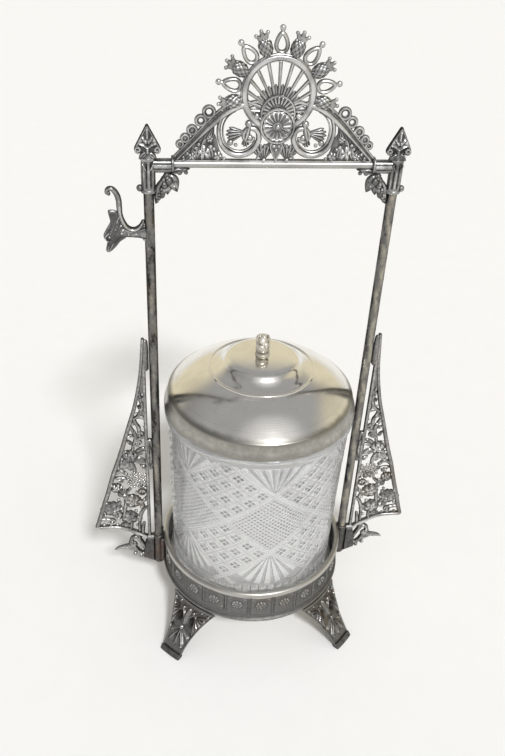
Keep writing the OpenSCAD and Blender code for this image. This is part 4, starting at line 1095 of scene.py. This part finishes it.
def wing_bracket(c):
    """Bracket under the wing: a slanting loop that runs out into a drooping beak, with ties and balls."""
    ring = [(53.7, 28.0), (55.2, 32.0), (57.0, 35.6), (58.6, 37.2), (60.4, 36.5), (60.9, 34.0), (59.7, 31.0),
            (58.3, 28.2), (56.7, 25.9), (54.6, 25.5)]
    c.tube(ring_through(ring, 41), 1.08, 1.3, 12, closed=True, relief=-0.15)
    beak = through([(60.0, 31.8), (62.2, 30.8), (64.6, 30.4), (66.8, 30.0), (68.4, 29.3), (69.5, 28.4)], 24)
    c.tube(beak, [2.0, 1.75, 1.4, 1.15, 0.8, 0.3], [1.3, 1.2, 1.0, 0.8, 0.5, 0.25], 12, relief=-0.1)
    c.tube(through([(56.8, 26.6), (59.8, 28.3), (62.8, 29.8)], 12), [1.0, 1.1, 0.8], 1.1, 10, relief=-0.1)
    c.tube(through([(56.6, 36.6), (57.2, 38.2), (58.6, 39.8)], 10), 0.95, 1.2, 10, relief=-0.1)
    c.tube(through([(60.8, 35.6), (61.2, 33.2), (60.6, 30.6)], 10), [0.9, 1.3, 1.3], 1.3, 10, relief=-0.2)
    balls = ((56.4, 23.9, 1.25, -0.2, 0.75), (59.4, 25.6, 1.1, -0.3, 0.8), (60.6, 34.8, 0.8, -1.1, 0.9),
             (63.4, 30.8, 0.7, -1.0, 0.9))
    for *place, tone in balls:
        c.bead(*place, relief=tone)


def make_wing(sign, label):
    """Wing: rails with flowers and leaves between them, and a bracket below."""
    c = Casting()
    wing_rails(c)
    wing_flowers(c)
    wing_bracket(c)
    make_piece("wing_casting_" + label, c.for_side(sign), WING, "wing_" + label)


# Tong hook on the left rod

def hook_tail(c):
    """Tail of the hook: a tube on a smooth curve that rises from the rod and curls over, with two ridges on
    each face and a ball at its end, and a thick tube below it from the rod to the head."""
    neck = through([(-49.7, 207.4), (-50.6, 205.5), (-52.2, 204.2), (-54.0, 203.9), (-55.9, 204.9),
                    (-57.3, 207.0), (-58.3, 209.8), (-58.5, 213.0), (-58.6, 215.8), (-59.3, 218.4),
                    (-60.8, 220.3), (-62.3, 220.3), (-62.9, 219.1), (-62.2, 218.4)], 72)
    c.tube(neck, along([0.7, 0.95, 1.0, 1.0, 1.05, 1.1, 1.1, 1.0, 0.85, 0.7], 40),
           along([1.0, 1.5, 1.6, 1.5, 1.3, 1.1, 0.9], 24), 14, relief=-0.15)
    side = beside(neck)
    for lift in (-1.35, 1.35):
        c.tube((neck - side * 0.2)[3:40], 0.42, 0.4, 8, lift=lift, relief=0.5)
        c.tube((neck - side * 0.15)[39:62], 0.36, 0.35, 8, lift=0.74 * lift, relief=0.5)
    c.bead(-62.3, 218.7, 0.8, relief=0.9)
    body = through([(-49.0, 202.4), (-51.4, 202.4), (-54.0, 202.3), (-56.4, 202.8), (-58.4, 203.4)], 30)
    c.tube(body, [2.6, 1.9, 1.5, 1.9, 2.4], [1.3, 1.3, 1.4, 1.6, 1.6], 16, relief=-0.2)


def hook_head(c):
    """Bird's head with a spur and a beak: a plate on both faces, domed towards its middle and covered with
    scales by the product of two waves, with a brow, an eye, lines and dots on each cheek."""
    head = [(-58.0, 210.4), (-59.4, 211.3), (-60.6, 211.9), (-62.8, 211.7), (-62.4, 209.2), (-62.3, 207.0),
            (-63.9, 204.1), (-65.0, 201.9), (-64.8, 200.4), (-63.8, 198.9), (-64.4, 195.7), (-63.7, 194.6),
            (-62.4, 195.1), (-60.4, 197.0), (-58.6, 199.2), (-56.6, 200.6), (-55.4, 202.4), (-55.8, 204.4),
            (-57.0, 206.6), (-57.7, 208.6)]
    scales = lambda x, z: (np.abs(np.cos(2.3 * (x - 0.5 * z))) * np.abs(np.cos(2.3 * (x + 0.9 * z)))
                           * between(z, 200.8, 202.6, 207.0, 209.0))
    marks = lambda k, x, z: 0.28 * scales(x, z) * (1 - k ** 4) + 0.3 * bell(k - 0.93, 0.07)
    c.two_faced(ring_through(head, 160), (-60.9, 203.6),
                lambda k, x, z: 0.25 + 1.45 * (1 - k ** 2.6) + marks(k, x, z),
                lambda k, x, z: np.clip(0.4 + marks(k, x, z), 0, 1), 30)
    brow = through([(-60.1, 204.9), (-61.6, 203.7), (-63.1, 202.7), (-64.2, 201.3), (-64.0, 200.0),
                    (-63.2, 199.5)], 18)
    cuts = (((-60.9, 199.4), (-61.6, 198.0), (-62.3, 196.8), (-63.3, 195.2), 10, 0.22, 0.95),
            ((-62.3, 199.4), (-62.9, 198.2), (-63.2, 197.0), (-63.6, 195.4), 10, 0.2, 0.85),
            ((-58.6, 209.6), (-59.6, 208.2), (-60.0, 206.6), (-59.2, 204.6), 12, 0.25, 1.25))
    dots = ((-58.2, 206.1, 0.6), (-57.5, 204.2, 0.6), (-58.0, 202.8, 0.5), (-52.6, 202.6, 0.5),
            (-60.2, 204.6, 0.55), (-55.4, 202.4, 0.5))
    for s in (-1, 1):
        c.tube(brow, 0.26, 0.4, 8, lift=1.15 * s, relief=0.35)
        c.bead(-62.7, 201.3, 0.5, 1.3 * s, relief=0.85)
        for *curve, width, lift in cuts:
            c.tube(bow(*curve), width, 0.3, 7, lift=lift * s, relief=0.25)
        c.beads(dots, 1.35 * s, (6, 9), 1.0)


def make_hook():
    """Hook for the tongs: a curled tail and a bird's head, with a leaf and two pads at the rod."""
    c = Casting()
    hook_tail(c)
    hook_head(c)
    c.leaf(-51.2, 204.0, 62, 4.6, 2.0, 1.0, 0.0, 2.0, 1.0)
    for z in (199.9, 206.4):
        c.tube([(-49.4, z), (-49.0, z)], 0.7, 1.0, 8)
    make_piece("tong_hook_casting", c, HOOK, "tong_hook")


# Base: rims, gallery, feet

def make_lower_moulding():
    """Moulding under the gallery: a profile with a bead and a hollow, turned about the z axis."""
    c = Casting()
    face = through([(44.1, BASE_LO), (44.7, 21.7), (45.0, 22.15), (45.0, 22.6), (44.7, 23.05), (44.3, 23.3),
                    (44.05, 23.6), (44.0, 24.5), (43.95, GALLERY_LO)], 40)
    tone = np.concatenate([along([0.3, 0.55, 0.8, 0.7, 0.4, 0.2, 0.4, 0.5, 0.5], 40), [0.2, 0.2]])
    c.spun(np.concatenate([face, [(42.0, GALLERY_LO), (42.0, BASE_LO)]]), 200, tone[:, None])
    make_piece("lower_moulding", c, GALLERY, "lower_rim", crease=50)


def make_upper_rim():
    """Rim on the gallery: a closed round profile turned about the z axis."""
    c = Casting()
    bead = [(42.95, GALLERY_HI), (43.9, GALLERY_HI), (44.5, 37.75), (44.82, 38.6), (44.75, 39.5),
            (44.35, 40.15), (43.7, 40.45), (43.0, 40.38), (42.5, 39.9), (42.3, 39.2), (42.4, 38.3)]
    c.spun(ring_through(bead, 60), 220, 0.8)
    make_piece("upper_rim_bead", c, RIM, "upper_rim", crease=60)


def make_gallery():
    """Gallery wall: a ring of plain panels between strips. In each panel's own arc x and height, a flower of
    dots is rings of bells times powers of |cos|, with lines along the edges and small dots in the corners."""
    panels, columns, rows = 24, 48, 44
    outside, inside, pattern_radius, flower_z = 43.85, 42.9, 44.0, 31.9
    a = around(panels * columns)
    z = np.linspace(GALLERY_LO, GALLERY_HI, rows)[:, None]
    pitch = TAU * pattern_radius / panels
    x = ((a * panels / TAU + 0.5) % 1.0 - 0.5) * pitch
    up = z - flower_z
    r = np.hypot(x, up)
    t = np.arctan2(up, x)
    strip = np.abs(x) - pitch / 2
    dot = lambda u, v, w: bell(np.hypot(np.abs(x) - u, up - v), w)
    flower = (0.75 * bell(r - 2.0, 0.45) * np.abs(np.cos(4 * t)) ** 3
              + 0.6 * bell(r - 0.95, 0.3) * np.abs(np.cos(2 * t + 0.78)) ** 3 + 0.4 * bell(r, 0.3))
    lines = (0.4 * bell(strip, 0.3) + 0.3 * bell(z - 37.0, 0.25) + 0.3 * bell(z - 26.0, 0.3)
             + 0.15 * bell(z - 27.3, 0.14))
    small = 0.35 * (dot(3.7, 3.9, 0.4) + dot(4.4, 3.2, 0.3) + dot(3.0, 4.4, 0.3) + dot(3.9, -3.5, 0.35)
                    + dot(4.5, -2.8, 0.25))
    dip = 0.25 * bell(strip + 0.75, 0.22) + 0.2 * bell(r - 2.85, 0.3) + 0.2 * bell(r - 1.45, 0.2)
    h = np.minimum(flower + lines + small, 0.85) - 0.35 * dip
    tone = 0.5 + 0.9 * (flower + small) + 0.3 * lines - 1.2 * dip
    wall = lambda q, w: grid_of(q * np.cos(a), q * np.sin(a), w + 0 * a)
    plain = h[:1] * 0 + 0.2
    c = Casting()
    c.add(np.concatenate([wall(inside, GALLERY_LO), wall(outside + h, z), wall(inside, GALLERY_HI)]),
          (True, True), np.clip(np.concatenate([plain, tone, plain]), 0, 1))
    make_piece("gallery_wall", c, GALLERY, "gallery_band", crease=70)


# A foot's radius from the z axis at the table and under the base, and its width at those two places
FOOT_OUT, FOOT_IN, TOE_W, FOOT_W = 61.7, 45.1, 11.8, 27


def on_foot(p):
    """Bends a drawing onto a foot: x becomes an angle about the z axis, y stands off the slope of a
    cone that runs from the foot's radius at the table to its radius under the base."""
    lean = np.arctan2(FOOT_OUT - FOOT_IN, BASE_LO)
    rad = FOOT_OUT - (FOOT_OUT - FOOT_IN) * p[:, 2] / BASE_LO
    a = p[:, 0] / np.maximum(rad, 1)
    rad = rad - p[:, 1] * np.cos(lean)
    return np.stack([rad * np.cos(a), rad * np.sin(a), np.maximum(p[:, 2] - p[:, 1] * np.sin(lean), 0.02)], 1)


def foot_relief(x, z, room):
    """Height of the ornament and depth of the hollows on a foot, at a place x from its middle that has this
    much room to the edge. The height is the highest of these ridges: a low edge, a ball with rays that widen
    downwards, a petal above the ball, and on each side a fan of ribs, its height a cosine of the angle about
    the fan's root, small balls, and an arch over a round hollow."""
    def ray(x0, z0, x1, z1, w0, w1):
        """Ridge on the line between two points, w0 wide at the first and w1 wide at the second."""
        k, far = on_line(x, z, x0, z0, x1, z1)
        return bell(far, w0 + (w1 - w0) * k)

    ball = lambda x0, z0, r: np.sqrt(np.clip(1 - ((x - x0) ** 2 + (z - z0) ** 2) / (r * r), 0, 1))
    root_x, root_z, rib_step = 4.4, 17.9, 20
    reach = np.hypot(x - root_x, z - root_z)
    angle = np.degrees(np.arctan2(z - root_z, x - root_x))
    ribs = 0.15 + 0.85 * np.abs(np.cos(np.pi * (angle - 6) / rib_step))
    fan = 1.05 * ribs * smooth(reach, 0.3, 1.5) * smooth(room, 0.5, 1.3) * between(angle, -80, -72, 12, 20)
    away = np.hypot(x - 3.7, (z - 15.3) / 1.15)
    petal = bell(x, 0.35 + 0.8 * np.sin(np.pi * np.clip((z - 12.4) / 7.6, 0, 1)))
    petal = petal * between(z, 12.4, 13.4, 19.0, 20.0)
    forms = [0.4 * bell(room - 0.45, 0.4), fan, 0.95 * petal - 0.3 * bell(x, 0.25) * smooth(z, 13.0, 14.0),
             0.8 * bell(away - 2.0, 0.4) * smooth(z, 14.6, 16.2), 0.45 * smooth(z, 20.1, 20.7)]
    balls = ((1.5, 0, 11.7, 1.25), (0.9, 0, 4.6, 0.6), (0.9, 3.9, 4.7, 0.65), (1.3, 3.2, 18.6, 0.95),
             (1.1, 10.4, 19.6, 0.9), (0.9, 9.4, 17.4, 0.65), (0.9, 8.0, 15.0, 0.6), (0.8, 6.6, 19.9, 0.7))
    rays = ((1.1, 0, 10.2, 0, 5.4, 0.3, 0.75), (1.0, 0.6, 10.3, 3.5, 5.6, 0.3, 0.8),
            (0.8, 1.0, 10.8, 4.9, 8.7, 0.25, 0.6))
    forms += [height * ball(*place) for height, *place in balls]
    forms += [height * ray(*place) for height, *place in rays]
    up = 0.0 * x
    for form in forms:
        up = np.maximum(up, form)
    hole = (bell(away, 1.45) + 0.7 * bell(np.hypot(x - 6.4, z - 10.4), 0.9)
            + 0.5 * bell(np.hypot(x - 1.6, z - 8.0), 0.7)) * (1 - smooth(up, 0.2, 0.6))
    return up, hole


def make_feet():
    """Feet: a plate that widens upwards by a power of the height, its outside raised by the ornament and cut
    by the hollows, with a box for the toe, bent onto a cone and turned to its four places."""
    rows, columns, back_columns = 96, 121, 7
    z = np.linspace(0.0, BASE_LO - 0.1, rows)[:, None]
    u = np.concatenate([np.linspace(-1, 1, columns), np.linspace(1, -1, back_columns + 2)[1:-1]])[None, :]
    front = np.concatenate([np.ones(columns), np.zeros(back_columns)])[None, :]
    half_width = (TOE_W + (FOOT_W - TOE_W) * np.clip(z / BASE_LO, 0, 1) ** 2.2) / 2
    x = u * half_width
    up, hole = foot_relief(np.abs(x), z, half_width - np.abs(x))
    points = grid_of(x, front * (0.45 - up + 0.9 * hole) + (1 - front) * 2.3, z)
    tone = 0.4 + 0.4 * up - 0.6 * hole - 0.08 * smooth(z, 3.4, 5.0) * (up < 0.15)
    tone = np.clip(front * tone + 0.1, 0, 1)
    middle = lambda row: row * 0 + row.mean(1, keepdims=True)
    rim = np.full((1, x.shape[1]), 0.2)
    foot = Casting()
    foot.add(np.concatenate([middle(points[:1]), points, middle(points[-1:])]), (False, True),
             np.concatenate([rim, tone, rim]))
    foot.tube([(at, 0.8) for at in np.linspace(-5.35, 5.35, 6)], 1.15, 1.25, 24, square=0.22, lift=0.7,
              tone=0.38)
    bent = foot.moved(on_foot)
    places = {"front_left": -135, "front_right": -45, "back_left": 135, "back_right": 45}
    for label, degrees in places.items():
        a = np.radians(degrees)
        spin = np.array([[np.cos(a), -np.sin(a), 0], [np.sin(a), np.cos(a), 0], [0, 0, 1]])
        make_piece("foot_casting_" + label, bent.moved(lambda p: p @ spin.T), FOOT, "foot_" + label)


# Jar

def jar_relief(a, z):
    """Height of the pressed pattern. With s the share of half a repeat from a fan's axis and b the share of
    half a repeat above the lattice's middle, p = s + b and q = b - s are the two lattice directions, with
    bands at odd values. Cells whose two indices add to 0 are flat, and get their fine squares from the
    material; to 1 or -1, four by four groups of four squares; to 2 or -2, the fans above and below.
    Flutes run round the foot. Also gives where the patterned body is, 1 on it and 0 off it."""
    s = ((np.degrees(a) - LATTICE_AXIS + LATTICE_DEG) % (2 * LATTICE_DEG) - LATTICE_DEG) / LATTICE_DEG
    b = (z - LATTICE_Z) / LATTICE_H
    p, q = s + b, b - s
    i, j = np.floor((p + 1) / 2), np.floor((q + 1) / 2)
    p_in, q_in = p - 2 * i, q - 2 * j
    kind = np.abs(np.round(i + j))
    tri = lambda v: 1 - np.abs(2 * (v % 1.0) - 1)
    edge = np.minimum(1 - np.abs(p_in), 1 - np.abs(q_in))
    band = 0.5 * (1 - smooth(edge, 0.05, 0.075)) - 0.35 * bell(edge, 0.018) + 0.3 * bell(edge - 0.1, 0.018)
    inside = smooth(edge, 0.085, 0.11)
    groups = [(p_in + 1) * 2, (q_in + 1) * 2]
    gap = np.min([np.minimum(v % 1, 1 - v % 1) for v in groups], 0)
    square = 0.1 + 0.6 * smooth(np.min([tri(v * 2) for v in groups], 0), 0.1, 0.7)
    block = smooth(gap, 0.06, 0.11) * square + 0.45 * bell(gap, 0.03)
    dx = s * LATTICE_W
    up = np.abs(z - LATTICE_Z) - LATTICE_H
    angle = np.degrees(np.arctan2(dx, np.maximum(up, 0.01)))
    far = np.hypot(dx, up)
    ray = np.abs(np.cos(np.radians(angle * 180 / PETAL_STEP))) ** 1.3 * between(far, 1.0, 4.0, 20.0, 22.0)
    h = np.select([kind == 0, kind == 1, kind == 2],
                  [0.3 * inside, block * inside, 0.8 * ray * smooth(edge, 0.05, 0.1)])
    zone = between(z, FLUTES_HI, 42.4, 114.4, 115.2)
    flute = np.abs(np.cos(FLUTES / 2 * a)) ** 0.5 * between(z, 25.8, 27.5, 40.2, FLUTES_HI)
    return 0.28 * (h + band) * zone + 0.4 * flute - 0.25, zone + 0 * a


def make_jar():
    """Glass jar as one closed sheet: the profile runs from the middle of the bottom up the outside, over
    the lip and down the inside; the pattern is added to the outside radius."""
    n = 465
    wall_lo, wall_hi, foot_radius, flare = 26.7, 115.5, 39.4, 2.4
    a = np.linspace(0, TAU, n)[None, :]
    z = np.concatenate([np.linspace(26.6, 45.0, 26), np.linspace(45.0, 115.2, 150)[1:]])[:, None]
    wall = foot_radius + flare * (z - wall_lo) / (wall_hi - wall_lo)
    h, mask = jar_relief(a, z)
    under = np.array([(0.0, 26.0), (30.0, 26.0), (34.5, 25.2), (36.0, JAR_LO), (37.6, JAR_LO), (38.7, 25.0),
                      (39.05, 25.8)])
    lip = through([(41.9, wall_hi), (42.7, 115.9), (43.15, 117.0), (43.2, 118.4), (42.8, 119.6),
                   (41.8, JAR_HI), (39.4, JAR_HI), (38.0, 119.7), (37.6, 118.8)], 18)
    over = np.concatenate([lip, [(36.6, 80.0), (35.6, 45.0), (35.2, 36.0), (34.6, 33.4), (33.0, 31.9),
                                 (26.0, 31.4), (0.0, 31.3)]])
    lay = lambda r, z: grid_of(r * np.cos(a), r * np.sin(a), z)
    points = np.concatenate([lay(under[:, :1], under[:, 1:]), lay(wall + h, z),
                             lay(over[:, :1], over[:, 1:])])
    pad = lambda v: np.concatenate([np.zeros((len(under), n)), np.broadcast_to(v, (len(z), n)),
                                    np.zeros((len(over), n))])
    # the pattern map runs on round the jar without a jump, so it is worked out from the angle itself
    s = (np.degrees(a) - LATTICE_AXIS) / LATTICE_DEG + 0 * z
    b = (z - LATTICE_Z) / LATTICE_H + 0 * a
    c = Casting()
    c.add(points, (False, False), pad(mask), np.stack([pad(s + b), pad(b - s)], -1))
    make_piece("glass_jar", c, GLASS, "jar", body="jar", crease=180)


# Lid

def make_lid():
    """Spun lid: the profile runs from the foot of the flared band over the shoulder, the sloping top with
    its engraved lines, the bead and the crown, and back on the inside. The slope rises with its share k
    from the band to the crown as k + sin(pi k) / 10."""
    band = through([(43.2, LID_LO), (43.22, 121.2), (42.7, 122.6), (42.1, 124.6), (41.7, 126.6),
                    (41.45, 127.3)], 22)
    slope_out, slope_in, slope_lo, slope_rise = 41.1, 23.7, 127.72, 10.7
    r = np.linspace(slope_out, slope_in, 130)
    k = (slope_out - r) / (slope_out - slope_in)
    engraved = sum(bell(r - line, 0.13) for line in (37.4, 36.5, 35.6, 34.7, 33.8, 32.9))
    slope = np.stack([r, slope_lo + slope_rise * (k + 0.1 * np.sin(np.pi * k)) - 0.008 * engraved], 1)
    crown = through([(23.55, 138.5), (23.5, 139.05), (23.05, 139.3), (22.5, 139.08), (21.0, 139.8),
                     (19.2, 140.75), (17.6, 141.85), (16.6, 142.85), (15.7, 143.65), (14.5, 144.25),
                     (12.8, 144.66), (9.0, 145.05), (5.0, 145.25), (1.6, 145.3)], 80)
    inside = np.array([(1.6, 144.4), (7.0, 144.1), (10.8, 143.4), (14.2, 142.0), (15.7, 140.8), (18.0, 139.2),
                       (22.4, 137.9), (31.8, 133.0), (40.2, 126.9), (40.5, 125.1), (42.1, 121.4),
                       (42.1, LID_LO)])
    # relief 0 at the shoulder between band and slope makes a dark ring there: painted shade; the band is
    # duller and the engraved lines darker
    wear_and_shade = np.concatenate([along([0.08, 0.2, 0.3, 0.2, 0.0], len(band)),
                           along([0.0, 0.8, 1.0, 1.0, 1.0, 1.0, 1.0, 0.9], len(slope)) - 0.4 * engraved,
                           along([0.5, 0.9, 1.0, 1.0], len(crown)), along(0.6, len(inside))])
    c = Casting()
    c.spun(np.concatenate([band, slope, crown, inside]), 240, wear_and_shade[:, None])
    make_piece("lid_spinning", c, LID, "lid_shell", body="lid", crease=48)


def make_finial():
    """Cast finial, seen edge-on from the front: overlapping eggs, each rippled by a wave of both its angles,
    on a low spun collar, with leaves up both sides."""
    c = Casting()
    foot = through([(3.1, LID_HI), (3.2, 145.6), (2.8, 146.2), (1.8, 146.5)], 12)
    c.spun(np.concatenate([[(0, LID_HI)], foot, [(0, 146.6)]]), 40, 0.5, closed=False)
    north = np.linspace(-np.pi / 2, np.pi / 2, 16)[:, None]
    east = around(26)
    wave = np.sin(3 * east + 2 * north) * np.cos(north)
    ripple = 1 + 0.06 * wave
    eggs = ((0.1, 0.2, 149.6, 2.3, 2.9, 3.6), (-0.3, -1.2, 148.8, 2.6, 2.0, 2.5),
            (0.3, 2.0, 149.6, 2.5, 2.1, 2.7), (-0.2, -0.7, 152.0, 2.1, 2.0, 2.3),
            (0.3, 1.4, 152.2, 2.3, 2.0, 2.4), (0.9, -1.9, 150.8, 1.3, 1.2, 1.5),
            (-1.0, 1.6, 153.2, 1.1, 1.3, 1.3), (0.4, 0.0, 153.9, 1.2, 1.4, 1.1))
    for x, y, z, rx, ry, rz in eggs:
        points = grid_of(x + 1.12 * rx * np.cos(north) * np.cos(east) * ripple,
                         y + ry * np.cos(north) * np.sin(east) * ripple, z + rz * np.sin(north))
        c.add(points, (False, True), np.clip(0.62 + 0.2 * wave + 0.3 * np.sin(north), 0, 1))
    lobes = Casting()
    lobes.leaves([(-2.0, 147.0, 70, 6.0, 2.6), (0.2, 147.2, 92, 7.0, 3.0), (2.3, 147.4, 110, 6.0, 2.6),
                  (-1.2, 151.2, 75, 3.8, 2.0), (1.5, 150.8, 100, 4.0, 2.0)], 0.9, -2.1, 2.0, 0.4)
    for s in (-1, 1):
        c.join(lobes.moved(lambda p: np.stack([p[:, 1] * s, p[:, 0], p[:, 2]], 1)))
    make_piece("lid_finial_casting", c, FINIAL, "lid_finial", body="lid")


make_crest()
make_rosette()
for sign, label in ((1, "right"), (-1, "left")):
    for make in (make_elbow, make_arrow, make_spandrel, make_collar, make_rod, make_socket, make_wing):
        make(sign, label)
make_hook()
make_lower_moulding()
make_upper_rim()
make_gallery()
make_feet()
make_jar()
make_lid()
make_finial()
make_crossbar()

# Solids that stay as they are get their finish here
for node, material in (("base_plate", TRAY), ("lid_bezel", RIM), ("lid_nut", RIM)):
    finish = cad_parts[node].data.materials
    finish.clear()
    finish.append(material)


# Stage, light and camera

def make_floor():
    """Pale floor: one large square just under the feet, its colour a faint noise."""
    size, drop = 8, -0.0003
    mesh = bpy.data.meshes.new("floor")
    corners = [(-size, -size, drop), (size, -size, drop), (size, size, drop), (-size, size, drop)]
    mesh.from_pydata(corners, [], [(0, 1, 2, 3)])
    floor = bpy.data.objects.new("floor", mesh)
    bpy.context.scene.collection.objects.link(floor)
    paper, tree, shader, _ = blank("pale_floor", Roughness=0.9, Specular_IOR_Level=0.1)
    grain = noise(coordinates(tree), 60.0, 4.0, 0.55)
    mix(grain, (0.92, 0.92, 0.915, 1), (0.95, 0.95, 0.945, 1)).into(shader.inputs["Base Color"])
    mesh.materials.append(paper)


def make_room():
    """Soft room light by direction: pale near the horizon, grey higher up in front, cream behind and to the
    right, grey overhead, and a round soft box above the front, where the direction is near its own."""
    world = bpy.data.worlds.new("soft_room")
    bpy.context.scene.world = world
    world.use_nodes = True
    tree = world.node_tree
    tree.nodes.clear()
    sky = coordinates(tree, "Generated")
    x, y, z = parts(sky)
    front = mix(z.ramp(0.12, 0.5), (0.8, 0.797, 0.79, 1), (0.28, 0.279, 0.277, 1))
    rear = mix(z.ramp(0.03, 0.14), (0.84, 0.825, 0.79, 1), (0.81, 0.74, 0.55, 1))
    behind = maths("MAXIMUM", y.ramp(0.38, 0.72), x.ramp(0.5, 0.85, 0.0, 0.8))
    colour = mix(z.ramp(0.5, 0.8), mix(behind, front, rear), (0.39, 0.39, 0.393, 1))
    soft_box = (0.154, -0.617, 0.772)
    node = put(tree, "ShaderNodeVectorMath", {1: soft_box}, operation="DOT_PRODUCT")
    toward = sky.into(node.inputs[0], node.outputs["Value"])
    light = put(tree, "ShaderNodeBackground", {"Strength": 1.0})
    mix(toward.ramp(0.8, 0.985), colour, (0.8, 0.8, 0.8, 1)).into(light.inputs["Color"])
    tree.links.new(light.outputs[0], put(tree, "ShaderNodeOutputWorld").inputs[0])


def stand(name, data, axes, place):
    """Puts a lamp or camera into the scene: its matrix has the three axes and the place as columns."""
    obj = bpy.data.objects.new(name, data)
    obj.matrix_world = Matrix([*np.column_stack([*axes, place]).tolist(), [0, 0, 0, 1]])
    bpy.context.scene.collection.objects.link(obj)
    return obj


def make_key_light():
    """Sun lamp above the front right, which points from its place to the jar."""
    place, aim = np.array([0.25, -1.0, 1.25]), np.array([0, 0, 0.1])
    data = bpy.data.lights.new("key_light", "SUN")
    data.energy = 2.05
    data.angle = 0.16
    back = (place - aim) / np.linalg.norm(place - aim)
    right = np.cross((0, 0, 1), back)
    right /= np.linalg.norm(right)
    stand("key_light", data, (right, np.cross(back, right), back), place)


def make_camera():
    """Pinhole camera: turned by yaw from the y axis, tipped down by pitch, and rolled about its view."""
    yaw, pitch, roll = 0.146683055, 0.600664485, 0.0561774617
    place = np.array([-0.0460366, -0.2859235, 0.3306106])
    focal_pixels, tall_pixels, sensor = 786.14664, 756.0, 36.0
    forward = np.array([np.sin(yaw) * np.cos(pitch), np.cos(yaw) * np.cos(pitch), -np.sin(pitch)])
    level_right = np.array([np.cos(yaw), -np.sin(yaw), 0.0])
    level_up = np.cross(level_right, forward)
    right = np.cos(roll) * level_right + np.sin(roll) * level_up
    up = -np.sin(roll) * level_right + np.cos(roll) * level_up
    data = bpy.data.cameras.new("camera")
    data.sensor_width = sensor
    data.lens = focal_pixels * sensor / tall_pixels
    data.clip_start = 0.01
    bpy.context.scene.camera = stand("camera", data, (right, up, -forward), place)


make_floor()
make_room()
make_key_light()
make_camera()
bpy.context.scene.view_settings.view_transform = "Standard"
